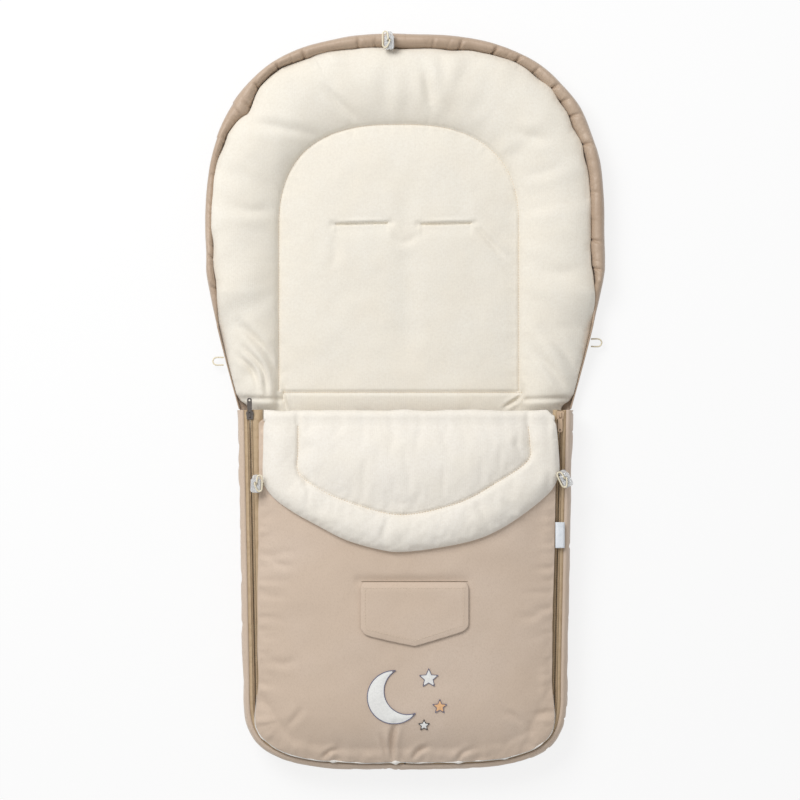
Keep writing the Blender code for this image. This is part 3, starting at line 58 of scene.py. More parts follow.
WAIST_LENGTH = 0.182
BAG_SIDE_LENGTH = 0.348
FOOT_ARCH_LENGTH = 0.115
HOOD_WIDTH = 0.517
NECK_WIDTH = 0.432
FOOT_WIDTH = 0.418
HOOD_EXPONENT = 2.6
FOOT_EXPONENT = 3.6
WAIST_EXPONENT = 1.2
ARCH_Y = 0.221
WIDE_Y = 0.170
NECK_Y = -0.012
CREASE_Y = 0.0077
FOLD_Y = -0.022
FOOT_Y = -0.360

# Heights and widths that the pieces share
SEAM_HEIGHT = 0.018
BACK_EDGE_HEIGHT = 0.017
RIM_THIN_WIDTH = 0.0024
RIM_HEIGHT = 0.043
RIM_START_RISE = 0.107
RIM_FULL_RISE = 0.152
ZIP_HEIGHT = 0.050
ZIP_INSET = 0.017
TAPE_WIDTH = 0.0075
FRONT_INSET = 0.0248
FRONT_EDGE = 0.0052
FRONT_CROWN = 0.025
HOOD_RADIUS = 0.245
MOUTH_CROWN_SHARE = 0.42
MOUTH_RAMP_LENGTH = 0.110
FLAP_CLEARANCE = 0.0016

# The camera looks straight down from CAMERA_HEIGHT, and its picture is VIEW_WIDTH wide at VIEW_LEVEL
CAMERA_HEIGHT = 3.03
VIEW_LEVEL = 0.030
VIEW_WIDTH = 1.0327
VIEW_CENTRE = (-0.0065, 0.0013)
FLOOR_LEVEL = -0.0004

# Mesh steps of the simulated cloth, which is subdivided twice after it, and of plain cloth
CLOTH_STEP = 0.0052
COARSE_STEP = 0.0090
CLOTH_FRAMES = 20

# Level of the flat underside of the fleece, and the least angle in degrees that shows as an edge
UNDERSIDE = 0.0060
SHARP_ANGLE = 60


# Camera, lights and floor


def linked(name, data):
    """A new object in the scene."""
    made = bpy.data.objects.new(name, data)
    bpy.context.scene.collection.objects.link(made)
    return made


def node(tree, kind, inputs, **settings):
    """A shader node, whose inputs are each given a value or an output to read."""
    made = tree.nodes.new("ShaderNode" + kind)
    for name, value in settings.items():
        setattr(made, name, value)
    for socket, given in inputs.items():
        if isinstance(given, bpy.types.NodeSocket):
            tree.links.new(given, made.inputs[socket])
        else:
            made.inputs[socket].default_value = given
    return made


def build_camera():
    """A long lens straight above the footmuff."""
    data = bpy.data.cameras.new("camera")
    data.sensor_width = 36.0
    data.lens = data.sensor_width * (CAMERA_HEIGHT - VIEW_LEVEL) / VIEW_WIDTH
    data.clip_end = 20.0
    camera = linked("camera", data)
    camera.location = (*VIEW_CENTRE, CAMERA_HEIGHT)
    bpy.context.scene.camera = camera


def area_light(name, place, aim, size, power):
    """A soft square light turned towards a point."""
    data = bpy.data.lights.new(name, "AREA")
    data.shape = "SQUARE"
    data.size = size
    data.energy = power
    light = linked(name, data)
    light.location = place
    light.rotation_euler = (Vector(aim) - Vector(place)).to_track_quat("-Z", "Y").to_euler()


def white_for_sight(tree, lit, seen):
    """Mixes two shaders: lit for light that falls on things, seen for what camera, glass and metal see."""
    rays = tree.nodes.new("ShaderNodeLightPath").outputs
    either = node(tree, "Math", {0: rays["Is Camera Ray"], 1: rays["Is Glossy Ray"]}, operation="MAXIMUM")
    sight = {0: either.outputs[0], 1: rays["Is Transmission Ray"]}
    looking = node(tree, "Math", sight, operation="MAXIMUM")
    return node(tree, "MixShader", {0: looking.outputs[0], 1: lit, 2: seen}).outputs[0]


def empty_tree(owner):
    """The node tree of a world or a material, cleared."""
    owner.use_nodes = True
    owner.node_tree.nodes.clear()
    return owner.node_tree


def build_world(level):
    """Plain white light from all round, seen as pure white."""
    world = bpy.data.worlds.new("studio")
    bpy.context.scene.world = world
    tree = empty_tree(world)
    lit, seen = [node(tree, "Background", {"Strength": strength}).outputs[0] for strength in (level, 1.0)]
    node(tree, "OutputWorld", {"Surface": white_for_sight(tree, lit, seen)})


def build_floor():
    """A plain pale floor that keeps the object's shadow."""
    made = bpy.data.materials.new("pale_floor")
    tree = empty_tree(made)
    paper = node(tree, "BsdfDiffuse", {"Color": (0.92, 0.92, 0.92, 1.0)}).outputs[0]
    glow = node(tree, "Emission", {"Strength": 1.0}).outputs[0]
    both = node(tree, "MixShader", {0: 0.80, 1: paper, 2: glow}).outputs[0]
    node(tree, "OutputMaterial", {"Surface": white_for_sight(tree, paper, both)})
    bm = bmesh.new()
    level = Matrix.Translation((0, 0, FLOOR_LEVEL))
    bmesh.ops.create_grid(bm, x_segments=1, y_segments=1, size=6.0, matrix=level)
    piece_from(bm, "floor", made)


# Plan curves, as arrays of (x, y)


def half_width(y):
    """Half of the mat's width beside its straight and waisted sides."""
    if y >= WIDE_Y:
        return HOOD_WIDTH / 2
    if y >= NECK_Y:
        swell = 1.0 - ((WIDE_Y - y) / WAIST_LENGTH) ** WAIST_EXPONENT
        return NECK_WIDTH / 2 + (HOOD_WIDTH - NECK_WIDTH) / 2 * swell
    return NECK_WIDTH / 2 + (FOOT_WIDTH - NECK_WIDTH) / 2 * (NECK_Y - y) / BAG_SIDE_LENGTH


def arch(centre_y, width, length, exponent, steps):
    """Superellipse from the right side round to the left; a negative length turns it to the foot."""
    angles = np.linspace(0.0, math.pi, steps + 1)
    across = np.sign(np.cos(angles)) * np.abs(np.cos(angles)) ** (2 / exponent)
    along = np.abs(np.sin(angles)) ** (2 / exponent)
    return np.stack([width / 2 * across, centre_y + length * along], 1)


def bay(ys, width_at, end):
    """Right side through ys, the curve end, and the left side back."""
    right = np.array([(width_at(y), y) for y in ys[:-1]])
    left = right[::-1] * (-1.0, 1.0)
    return np.concatenate([right, end, left])


def evenly(path, count):
    """The curve read at equal steps along its length."""
    path = np.asarray(path, float)
    lengths = np.concatenate([[0.0], np.cumsum(np.linalg.norm(np.diff(path, axis=0), axis=1))])
    wanted = np.linspace(0.0, lengths[-1], count + 1)
    return np.stack([np.interp(wanted, lengths, path[:, k]) for k in range(path.shape[1])], 1)


def length_of(path):
    """Length of a curve given by its points."""
    return float(np.linalg.norm(np.diff(path, axis=0), axis=1).sum())


def run_along(path):
    """How far along a curve each of its evenly spaced points lies."""
    return np.linspace(0.0, length_of(path), len(path))


def rounded(points, steps):
    """A smooth curve through given points."""
    points = np.asarray(points, float)
    ends = np.concatenate([[2 * points[0] - points[1]], points, [2 * points[-1] - points[-2]]])
    found = []
    for a, b, c, d in zip(ends, ends[1:], ends[2:], ends[3:]):
        for t in np.arange(steps) / steps:
            bend = (2 * a - 5 * b + 4 * c - d) * t**2
            twist = (3 * b - 3 * c + d - a) * t**3
            found.append(0.5 * (2 * b + (c - a) * t + bend + twist))
    return np.array([*found, points[-1]])


def sideways(path):
    """Unit directions to the right of a plan curve's run."""
    along = np.gradient(np.asarray(path, float), axis=0)
    along /= np.linalg.norm(along, axis=1)[:, None] + 1e-12
    return np.stack([along[:, 1], -along[:, 0]], 1)


def hood_path(start_y, count):
    """The hood's outline from start_y on the right, round the head, to the left; sideways() leads out."""
    ys = np.linspace(start_y, ARCH_Y, 120)
    return evenly(bay(ys, half_width, arch(ARCH_Y, HOOD_WIDTH, HOOD_ARCH_LENGTH, HOOD_EXPONENT, 400)), count)


def bag_outline(start_y, count):
    """The bag's outline from start_y on the right, round the foot, to the left; sideways() leads in."""
    ys = np.linspace(start_y, FOOT_Y, 120)
    return evenly(bay(ys, half_width, arch(FOOT_Y, FOOT_WIDTH, -FOOT_ARCH_LENGTH, FOOT_EXPONENT, 300)), count)


def distance(points, line, closed=False):
    """Distance of each point to a line, and how far along it the nearest place lies, from 0 to 1."""
    points = np.asarray(points, float)
    line = np.asarray(line, float)
    if closed:
        line = np.concatenate([line, line[:1]])
    starts = line[:-1]
    runs = line[1:] - starts
    squares = (runs**2).sum(1) + 1e-18
    lengths = np.sqrt(squares)
    before = np.concatenate([[0.0], np.cumsum(lengths)[:-1]])
    best = np.full(len(points), 1e9)
    where = np.zeros(len(points))
    for k in range(len(runs)):
        offset = points - starts[k]
        share = np.clip((offset @ runs[k]) / squares[k], 0.0, 1.0)
        gap = ((offset - share[:, None] * runs[k]) ** 2).sum(1)
        nearer = gap < best
        best[nearer] = gap[nearer]
        where[nearer] = before[k] + share[nearer] * lengths[k]
    return np.sqrt(best), where / lengths.sum()


def gap_to(points, line, closed=False):
    """Distance of each point to a line."""
    return distance(points, line, closed)[0]


def within(points, polygon):
    """Whether each point lies inside a polygon."""
    x, y = points[:, 0], points[:, 1]
    inside = np.zeros(len(points), bool)
    for (x0, y0), (x1, y1) in zip(polygon, np.roll(polygon, -1, axis=0)):
        crosses = (y0 > y) != (y1 > y)
        if y0 != y1:
            inside ^= crosses & (x < (x1 - x0) * (y - y0) / (y1 - y0) + x0)
    return inside


def eased(share):
    """From 0 to 1 with a soft start and end."""
    share = np.clip(share, 0.0, 1.0)
    return share * share * (3.0 - 2.0 * share)


def bell(offset, width):
    """1 in the middle, fading to both sides."""
    share = offset / width
    return np.exp(-share * share)


def ripple(x, y, size, seed):
    """Smooth seeded noise from -1 to 1 whose swells are about size across."""
    table = np.random.default_rng(seed).uniform(-1.0, 1.0, (257, 257))
    u = np.asarray(x, float) / size + 1000.0
    v = np.asarray(y, float) / size + 1000.0
    i, j = np.floor(u).astype(int), np.floor(v).astype(int)
    s, t = eased(u - i), eased(v - j)
    i, j = i % 256, j % 256
    low = table[i, j] * (1 - s) + table[i + 1, j] * s
    high = table[i, j + 1] * (1 - s) + table[i + 1, j + 1] * s
    return low * (1 - t) + high * t


def wave(run, size, seed, row=0):
    """Ripples along one line only; row picks another line of the same noise."""
    return ripple(run, 0 * run + row, size, seed)


# Meshes


def mesh_object(name, points, faces, finish):
    """A smooth piece from points and faces."""
    mesh = bpy.data.meshes.new(name)
    mesh.from_pydata([tuple(map(float, p)) for p in points], [], [tuple(map(int, f)) for f in faces])
    mesh.validate()
    mesh.materials.append(finish)
    mesh.shade_smooth()
    return linked(name, mesh)


def piece_from(bm, name, finish):
    """A smooth piece from an edited mesh."""
    mesh = bpy.data.meshes.new(name)
    bm.to_mesh(mesh)
    bm.free()
    mesh.materials.append(finish)
    mesh.shade_smooth()
    return linked(name, mesh)


def places(made):
    """A piece's points as an array."""
    co = np.zeros(len(made.data.vertices) * 3)
    made.data.vertices.foreach_get("co", co)
    return co.reshape(-1, 3)


def put(made, co):
    """Writes a piece's points back."""
    made.data.vertices.foreach_set("co", np.asarray(co, np.float32).ravel())
    made.data.update()


def bake(made):
    """Applies a piece's modifiers to its mesh."""
    graph = bpy.context.evaluated_depsgraph_get()
    graph.update()
    mesh = bpy.data.meshes.new_from_object(made.evaluated_get(graph))
    old = made.data
    made.modifiers.clear()
    made.data = mesh
    mesh.name = made.name
    bpy.data.meshes.remove(old)


def rings_object(name, rings, finish):
    """A closed skin through rings of equally many points."""
    rings = np.asarray(rings, float)
    count, size = rings.shape[:2]
    faces = []
    for k in range(count - 1):
        for i in range(size):
            j = (i + 1) % size
            faces.append((k * size + i, k * size + j, (k + 1) * size + j, (k + 1) * size + i))
    faces.append(tuple(range(size))[::-1])
    faces.append(tuple((count - 1) * size + i for i in range(size)))
    return mesh_object(name, rings.reshape(-1, 3), faces, finish)


def grown(bm, place):
    """Adds a strip of faces along an open border; place(point) says where each outer point goes."""
    border = [e for e in bm.edges if e.is_boundary]
    for part in bmesh.ops.extrude_edge_only(bm, edges=border)["geom"]:
        if isinstance(part, bmesh.types.BMVert):
            part.co = place(part.co)


def cloth_patch(name, outline, height, step, finish):
    """An even net of cloth over a closed outline, at height(points)."""
    outline = np.asarray(outline, float)
    low = outline.min(0)
    high = outline.max(0)
    counts = np.ceil((high - low) / step).astype(int) + 1
    xs = low[0] + step * np.arange(counts[0]) + ((high[0] - low[0]) - step * (counts[0] - 1)) / 2
    ys = low[1] + step * np.arange(counts[1]) + ((high[1] - low[1]) - step * (counts[1] - 1)) / 2
    grid = np.stack(np.meshgrid(xs, ys, indexing="ij"), -1).reshape(-1, 2)
    kept = within(grid, outline) & (gap_to(grid, outline, closed=True) > 0.45 * step)
    bm = bmesh.new()
    made = {index: bm.verts.new((*grid[index], 0.0)) for index in np.nonzero(kept)[0]}
    rows = counts[1]
    for index in made:
        square = [index, index + rows, index + rows + 1, index + 1]
        if (index + 1) % rows and all(corner in made for corner in square):
            bm.faces.new([made[corner] for corner in square])
    bmesh.ops.delete(bm, geom=[v for v in bm.verts if not v.link_faces], context="VERTS")
    grown(bm, lambda point: nearest_on(outline, point))
    bmesh.ops.recalc_face_normals(bm, faces=bm.faces)
    bm.verts.ensure_lookup_table()
    if sum(f.normal.z for f in bm.faces) < 0:
        bmesh.ops.reverse_faces(bm, faces=bm.faces)
    co = np.array([v.co[:2] for v in bm.verts])
    for vert, z in zip(bm.verts, height(co)):
        vert.co.z = z
    return piece_from(bm, name, finish)


def nearest_on(line, point):
    """The place of a closed plan line that is nearest to a point."""
    starts = line
    runs = np.roll(line, -1, axis=0) - starts
    offset = np.array(point[:2]) - starts
    share = np.clip((offset * runs).sum(1) / ((runs**2).sum(1) + 1e-18), 0.0, 1.0)
    spots = starts + share[:, None] * runs
    best = ((spots - np.array(point[:2])) ** 2).sum(1).argmin()
    return Vector((*spots[best], 0.0))


def inflate(made, held, slack, cap):
    """Fills slack cloth out under air pressure, held fast where it is sewn, and moves it by cap at most."""
    rest = places(made)
    group = made.vertex_groups.new(name="held")
    group.add([int(i) for i in np.nonzero(held)[0]], 1.0, "REPLACE")
    cloth = made.modifiers.new("cloth", "CLOTH")
    settings = cloth.settings
    settings.quality = 6
    settings.mass = 0.25
    settings.vertex_group_mass = "held"
    settings.use_pressure = True
    settings.uniform_pressure_force = 4.0
    settings.shrink_min = -slack
    settings.tension_stiffness = 12.0
    settings.compression_stiffness = 8.0
    settings.shear_stiffness = 3.0
    settings.bending_stiffness = 0.4
    settings.air_damping = 2.0
    settings.effector_weights.gravity = 0.0
    cloth.collision_settings.use_collision = False
    cloth.point_cache.frame_start = 1
    cloth.point_cache.frame_end = CLOTH_FRAMES
    for number in range(1, CLOTH_FRAMES + 1):
        bpy.context.scene.frame_set(number)
    bake(made)
    bpy.context.scene.frame_set(1)
    moved = places(made) - rest
    reach = np.linalg.norm(moved, axis=1)
    factor = np.where(reach > cap, cap / np.maximum(reach, 1e-9), 1.0)
    put(made, rest + moved * factor[:, None])


def refine(made, levels=2):
    """Subdivides smoothly."""
    modifier = made.modifiers.new("fine", "SUBSURF")
    modifier.levels = levels
    modifier.render_levels = levels
    modifier.boundary_smooth = "PRESERVE_CORNERS"
    bake(made)


def into_bag(point):
    """Which way the inside of the bag lies, seen from a place beside its sides or its foot."""
    across = -max(-1.0, min(1.0, point.x / 0.10))
    along = max(0.0, min(1.0, (-0.33 - point.y) / 0.08))
    way = Vector((across, along, 0.0))
    return way.normalized() if way.length > 1.0 else way


def thicken(made, thickness, offset):
    """Gives cloth a thickness, on its upper side with an offset of 1 and below with -1."""
    skin = made.modifiers.new("thickness", "SOLIDIFY")
    skin.thickness = thickness
    skin.offset = offset
    bake(made)


def walled(made, *places_of_walls, floor=False, sharp=True):
    """Adds walls to the border of a cloth, one after the other, and a flat floor below them."""
    bm = bmesh.new()
    bm.from_mesh(made.data)
    for place in places_of_walls:
        grown(bm, place)
    if floor:
        bmesh.ops.holes_fill(bm, edges=[e for e in bm.edges if e.is_boundary], sides=0)
    bmesh.ops.recalc_face_normals(bm, faces=bm.faces)
    bm.to_mesh(made.data)
    bm.free()
    made.data.shade_smooth()
    if sharp:
        made.data.set_sharp_from_angle(angle=math.radians(SHARP_ANGLE))


def tucked(level, reach):
    """A wall that goes down to a level and in, towards the middle of the bag."""

    def place(point):
        down = lowered(level)(point)
        return down + into_bag(down) * reach

    return place


def lowered(level):
    """A wall that goes straight down to a level."""
    return lambda point: Vector((point.x, point.y, min(level, point.z)))


def fold(co, line, depth, width):
    """Heights of one soft fold: a valley along a line with a ridge on each side, fading at its ends."""
    gap, along = distance(co[:, :2], rounded(line, 6))
    fade = np.sin(math.pi * np.clip(along, 0.02, 0.98)) ** 0.6
    ridge = 0.42 * bell(gap - 2.0 * width, 1.2 * width)
    return depth * fade * (ridge - bell(gap, width))


class Surface:
    """Reads heights off a finished piece, from above."""

    def __init__(self, piece):
        points = [vert.co.copy() for vert in piece.data.vertices]
        self.tree = BVHTree.FromPolygons(points, [list(face.vertices) for face in piece.data.polygons])

    def over(self, co, beside):
        """Heights at many places; beside is the height where the piece doesn't lie."""
        hits = [self.tree.ray_cast(Vector((x, y, 1.0)), Vector((0, 0, -1)))[0] for x, y in co[:, :2]]
        return np.array([beside if hit is None else hit.z for hit in hits])


def tube(name, path, radius, finish, sides=10):
    """A round cord or bead along points, whose radius may vary along it."""
    path = np.asarray(path, float)
    radii = np.broadcast_to(radius, (len(path),))
    along = np.gradient(path, axis=0)
    along /= np.linalg.norm(along, axis=1)[:, None]
    up = np.array([0.0, 0.0, 1.0])
    rings = []
    side = np.cross(along[0], up)
    for point, way, r in zip(path, along, radii):
        side = side - way * (side @ way)
        if np.linalg.norm(side) < 1e-6:
            side = np.cross(way, (1.0, 0.0, 0.0))
        side /= np.linalg.norm(side)
        over = np.cross(side, way)
        turns = np.linspace(0.0, 2 * math.pi, sides, endpoint=False)
        rings.append([point + r * (math.cos(a) * side + math.sin(a) * over) for a in turns])
    return rings_object(name, rings, finish)


# Length of a stitch, and how high its thread lies and how thick it is at five places along it
STITCH_LENGTH = 0.0026
STITCH_PROFILE = ((0.0, 0.35), (0.7, 0.95), (1.0, 1.0), (0.7, 0.95), (0.0, 0.35))


def stitches(name, path, finish, gap, radius):
    """A row of sewn stitches along points in space: short threads that dip at both ends."""
    path = np.asarray(path, float)
    count = max(int(length_of(path) / (STITCH_LENGTH + gap)), 1)
    fine = evenly(path, count * 6)
    up = np.array([0.0, 0.0, 1.0])
    points, faces = [], []
    for k in range(count):
        run = fine[k * 6 : k * 6 + 5]
        way = run[-1] - run[0]
        way /= np.linalg.norm(way) + 1e-12
        side = np.cross(way, up)
        side /= np.linalg.norm(side) + 1e-12
        start = len(points)
        for spot, (lift, size) in zip(run, STITCH_PROFILE):
            centre = spot + radius * (lift - 0.4) * up
            for a in np.linspace(0.0, 2 * math.pi, 5, endpoint=False):
                points.append(centre + radius * size * (math.cos(a) * side + math.sin(a) * up))
        for a in range(start, start + 20, 5):
            faces += [(a + i, a + (i + 1) % 5, a + 5 + (i + 1) % 5, a + 5 + i) for i in range(5)]
        faces.append([start + i for i in range(5)][::-1])
        faces.append([start + 20 + i for i in range(5)])
    return mesh_object(name, points, faces, finish)


def worn(piece, body, slot, *nodes):
    """Puts a piece on its body and lets it stand for CAD nodes, which it hides. Its slot is not used."""
    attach(piece, body)
    if nodes:
        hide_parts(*nodes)
    return piece


def bent(piece, slot, *nodes):
    """Lets a piece stand for CAD nodes, which it hides, and bakes its placement into its mesh. Its slot is
    not used.
    """
    if nodes:
        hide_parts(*nodes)
    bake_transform(piece)
    return piece


# Finishes


def srgb(colour):
    """A screen colour from 0 to 255 as linear values."""
    return tuple(((c / 255 + 0.055) / 1.055) ** 2.4 if c > 10 else c / 3295 for c in colour) + (1.0,)


class Finish:
    """A material whose colour, roughness and relief come from procedural nodes, in metres on the piece."""

    def __init__(self, name, roughness, **fixed):
        self.material = bpy.data.materials.new(name)
        self.material.use_nodes = True
        self.tree = self.material.node_tree
        self.shader = self.tree.nodes["Principled BSDF"]
        self.shader.inputs["Roughness"].default_value = roughness
        for socket, value in fixed.items():
            self.shader.inputs[socket.replace("_", " ")].default_value = value
        self.place = self.tree.nodes.new("ShaderNodeTexCoord").outputs["Object"]

    def stretched(self, scale, turn):
        """The piece's coordinates, stretched and turned about Z."""
        inputs = {"Scale": scale, "Rotation": (0.0, 0.0, math.radians(turn)), "Vector": self.place}
        return node(self.tree, "Mapping", inputs).outputs[0]

    def noise(self, size, detail=3.0, scale=(1.0, 1.0, 1.0), turn=0.0):
        """Noise whose grain is about size across."""
        inputs = {"Scale": 1.0 / size, "Detail": detail, "Vector": self.stretched(scale, turn)}
        return node(self.tree, "TexNoise", inputs).outputs["Fac"]

    def bands(self, period, turn, wander, direction="X"):
        """Parallel threads, period apart; DIAGONAL ones cross upright faces too."""
        scale = (0.444 if direction == "DIAGONAL" else 0.314) / period
        place = self.stretched((1.0, 1.0, 1.0), turn)
        inputs = {"Scale": scale, "Distortion": wander, "Detail": 1.0, "Vector": place}
        return node(self.tree, "TexWave", inputs, bands_direction=direction).outputs["Fac"]

    def colour(self, base, *layers):
        """Mixes colours over the base: each layer is (noise, low, high, colour), shown where noise passes."""
        current = srgb(base)
        self.material.diffuse_color = current
        for value, low, high, tint in layers:
            share = node(self.tree, "MapRange", {"Value": value, "From Min": low, "From Max": high})
            inputs = {0: share.outputs[0], 6: current, 7: srgb(tint)}
            current = node(self.tree, "Mix", inputs, data_type="RGBA").outputs[2]
        self.tree.links.new(current, self.shader.inputs["Base Color"])

    def relief(self, *layers):
        """Adds bumps: each layer is (height value, depth in metres, strength)."""
        lower = {}
        for value, depth, strength in layers:
            inputs = {"Height": value, "Distance": depth, "Strength": strength, **lower}
            lower = {"Normal": node(self.tree, "Bump", inputs).outputs[0]}
        self.tree.links.new(lower["Normal"], self.shader.inputs["Normal"])

    def varied_roughness(self, value, low, high):
        """Roughness that goes from low to high with a noise."""
        share = node(self.tree, "MapRange", {"Value": value, "To Min": low, "To Max": high})
        self.tree.links.new(share.outputs[0], self.shader.inputs["Roughness"])


def fleece_finish(name, base, warm, deep):
    """Brushed polar fleece: fine fibres, soft pilling, and faint knit wales that run along Y."""
    made = Finish(name, 0.95, Sheen_Weight=0.20, Sheen_Roughness=0.6, Specular_IOR_Level=0.12)
    made.colour(
        base,
        (made.noise(0.045, 3.0), 0.35, 0.75, warm),
        (made.noise(0.0030, 3.0), 0.40, 0.90, deep),
        (made.noise(0.0009, 3.0, (1.0, 0.6, 1.0)), 0.40, 0.95, deep),
    )
    made.relief(
        (made.bands(0.0024, 0.0, 1.6), 0.00012, 0.50),
        (made.noise(0.0050, 3.0), 0.00035, 0.50),
        (made.noise(0.0010, 3.0), 0.00030, 0.70),
    )
    return made.material


def twill_finish(name, base, dark, light, gloss=0.32, low=0.54, high=0.70):
    """Smooth microfibre twill: a fine diagonal weave with a soft sheen and a slight heather."""
    made = Finish(name, 0.62, Sheen_Weight=0.22, Sheen_Roughness=0.35, Specular_IOR_Level=gloss)
    made.colour(
        base,
        (made.noise(0.120, 2.0), 0.45, 0.80, light),
        (made.noise(0.0016, 3.0, (1.0, 0.7, 1.0), 38.0), 0.42, 1.20, dark),
        (made.bands(0.0011, 8.0, 0.3, "DIAGONAL"), 0.50, 1.60, dark),
    )
    made.relief(
        (made.noise(0.030, 2.0), 0.0012, 0.35),
        (made.bands(0.0011, 8.0, 0.3, "DIAGONAL"), 0.00014, 0.55),
        (made.noise(0.0008, 2.0), 0.00012, 0.50),
    )
    made.varied_roughness(made.noise(0.018, 2.0), low, high)
    return made.material


def tape_finish(name, base, dark):
    """Woven zip tape in a herringbone."""
    made = Finish(name, 0.72, Sheen_Weight=0.10)
    made.colour(
        base,
        (made.bands(0.0009, 40.0, 0.4), 0.45, 1.0, dark),
        (made.noise(0.006, 3.0), 0.45, 0.85, dark),
    )
    made.relief((made.bands(0.0009, 40.0, 0.4), 0.00018, 0.7), (made.noise(0.0007, 2.0), 0.0001, 0.5))
    return made.material


def thread_finish(name, base, dark, period=0.0007, turn=35.0):
    """Twisted sewing thread or braided elastic."""
    made = Finish(name, 0.66, Sheen_Weight=0.15)
    made.colour(base, (made.bands(period, turn, 0.3), 0.35, 1.0, dark))
    made.relief((made.bands(period, turn, 0.3), 0.00022, 0.8), (made.noise(0.0006, 2.0), 0.0001, 0.4))
    return made.material


def metal_finish(name, base, low, high, metallic, worn_colour):
    """Cast slider metal, plated or painted, rubbed where hands touch it."""
    coat = 0.25 if metallic < 1.0 else 0.0
    made = Finish(name, low, Metallic=metallic, Coat_Weight=coat, Coat_Roughness=0.25)
    made.colour(base, (made.noise(0.0022, 4.0), 0.60, 0.78, worn_colour))
    made.relief((made.noise(0.0011, 3.0), 0.00005, 0.6))
    made.varied_roughness(made.noise(0.0030, 3.0), low, high)
    return made.material


def clear_finish(name):
    """Clear moulded plastic with a faint haze."""
    made = Finish(name, 0.12, Transmission_Weight=0.55, IOR=1.46, Coat_Weight=0.4, Coat_Roughness=0.06)
    made.colour((248, 249, 250), (made.noise(0.004, 2.0), 0.50, 0.85, (232, 236, 240)))
    made.relief((made.noise(0.0035, 3.0), 0.00012, 0.5))
    made.varied_roughness(made.noise(0.0025, 3.0), 0.06, 0.22)
    return made.material


FINISHES = {
    "fleece": fleece_finish("cream_fleece", (238, 233, 222), (238, 231, 217), (229, 222, 209)),
    "flap_fleece": fleece_finish("flap_fleece", (241, 236, 227), (241, 235, 223), (232, 225, 214)),
    "twill": twill_finish("beige_twill", (212, 192, 173), (192, 171, 151), (218, 200, 184)),
    "rim": twill_finish(
        "rim_twill", (184, 161, 139), (160, 136, 114), (202, 181, 160), gloss=0.60, low=0.36, high=0.50
    ),
    "under": twill_finish("under_twill", (198, 178, 160), (180, 160, 142), (206, 187, 170)),
    "tape": tape_finish("zip_tape_weave", (208, 184, 150), (180, 154, 120)),
    "coil": thread_finish("nylon_coil", (176, 151, 120), (136, 112, 84), 0.0012, 90.0),
    "elastic": thread_finish("cream_elastic", (246, 238, 214), (222, 208, 176), 0.0009, 32.0),
    "piping": thread_finish("white_piping", (246, 243, 238), (226, 220, 212), 0.0012, 50.0),
    "thread": thread_finish("tan_thread", (229, 210, 181), (208, 184, 150)),
    # Dark brown thread for the seam lines beside the zip coils and along the pocket's top: real seams, whose
    # darkness is also painted shade there
    "shade_dark_thread": thread_finish("brown_thread_painted_shade", (128, 104, 78), (98, 78, 56)),
    "topstitch": thread_finish("topstitch_thread", (234, 219, 199), (208, 190, 167)),
    "felt": fleece_finish("white_felt", (245, 245, 242), (242, 241, 238), (228, 228, 226)),
    "peach": fleece_finish("peach_felt", (243, 198, 150), (240, 190, 142), (226, 172, 122)),
    "satin": thread_finish("grey_satin_stitch", (122, 122, 148), (78, 78, 104), 0.0008, 60.0),
    "dark_satin": thread_finish("dark_satin_stitch", (46, 42, 48), (24, 22, 28), 0.0008, 60.0),
    "tag": tape_finish("white_woven_tag", (244, 248, 252), (224, 230, 238)),
    "nickel": metal_finish("dark_nickel_plate", (112, 106, 102), 0.20, 0.38, 1.0, (150, 144, 138)),
    "zinc": metal_finish("beige_painted_zinc", (196, 170, 142), 0.32, 0.46, 0.0, (212, 190, 166)),
    "steel": metal_finish("bright_spring_steel", (200, 200, 200), 0.20, 0.34, 1.0, (220, 220, 220)),
    "clear": clear_finish("clear_moulded_plastic"),
}


# Free cords, along the same points as the part's

CORD_DIAMETER = 0.0020
GAP = 0.0003
LOOP_RISING = (
    (0.0, 0.0012, -0.0058), (0.0, 0.0012, 0.0004), (0.0, 0.0012, 0.0054), (0.0006, 0.0013, 0.0071),
    (0.0023, 0.0014, 0.0080), (0.0050, 0.0015, 0.0078), (0.0076, 0.0019, 0.0073),
    (0.0096, 0.0031, 0.0070), (0.0103, 0.0049, 0.0069), (0.0096, 0.0067, 0.0069),
    (0.0076, 0.0079, 0.0069), (0.0044, 0.0082, 0.0069), (0.0, 0.0082, 0.0069),
)
LOOP_FALLING = (
    (-0.0044, 0.0082, 0.0069), (-0.0076, 0.0079, 0.0069), (-0.0096, 0.0067, 0.0069),
    (-0.0103, 0.0049, 0.0069), (-0.0096, 0.0031, 0.0070), (-0.0076, 0.0017, 0.0073),
    (-0.0050, 0.0004, 0.0079), (-0.0023, -0.0007, 0.0081), (-0.0006, -0.0011, 0.0071),
    (0.0, -0.0012, 0.0054), (0.0, -0.0012, 0.0004), (0.0, -0.0012, -0.0058),
)
FLAP_LOOP_IN = (
    (0.0009, 0.0107, -0.0082), (0.0007, 0.0078, -0.0083), (0.0004, 0.0049, -0.0082),
    (0.0001, 0.0021, -0.0074),
)
FLAP_LOOP_OUT = (
    (-0.0006, -0.0006, -0.0074), (-0.0016, 0.0012, -0.0083), (-0.0023, 0.0036, -0.0083),
    (-0.0024, 0.0074, -0.0083), (-0.0024, 0.0107, -0.0082),
)
SIDE_LOOP = (
    (0.0, 0.0048), (0.0042, 0.0050), (0.0084, 0.0050), (0.0112, 0.0044), (0.0132, 0.0026),
    (0.0140, 0.0), (0.0132, -0.0026), (0.0112, -0.0044), (0.0084, -0.0050), (0.0042, -0.0050),
    (0.0, -0.0048),
)
HOOD_LOCK = (-0.0205, 0.4628, 0.04885)
LEFT_LOCK = (-0.18998, -0.10450, 0.07065)
RIGHT_LOCK = (0.20398, -0.09800, 0.06690)
LOCK_TURNS = {"hood": 90.0, "flap_left": 88.0, "flap_right": 115.0}
RIM_SURFACE = 0.03844


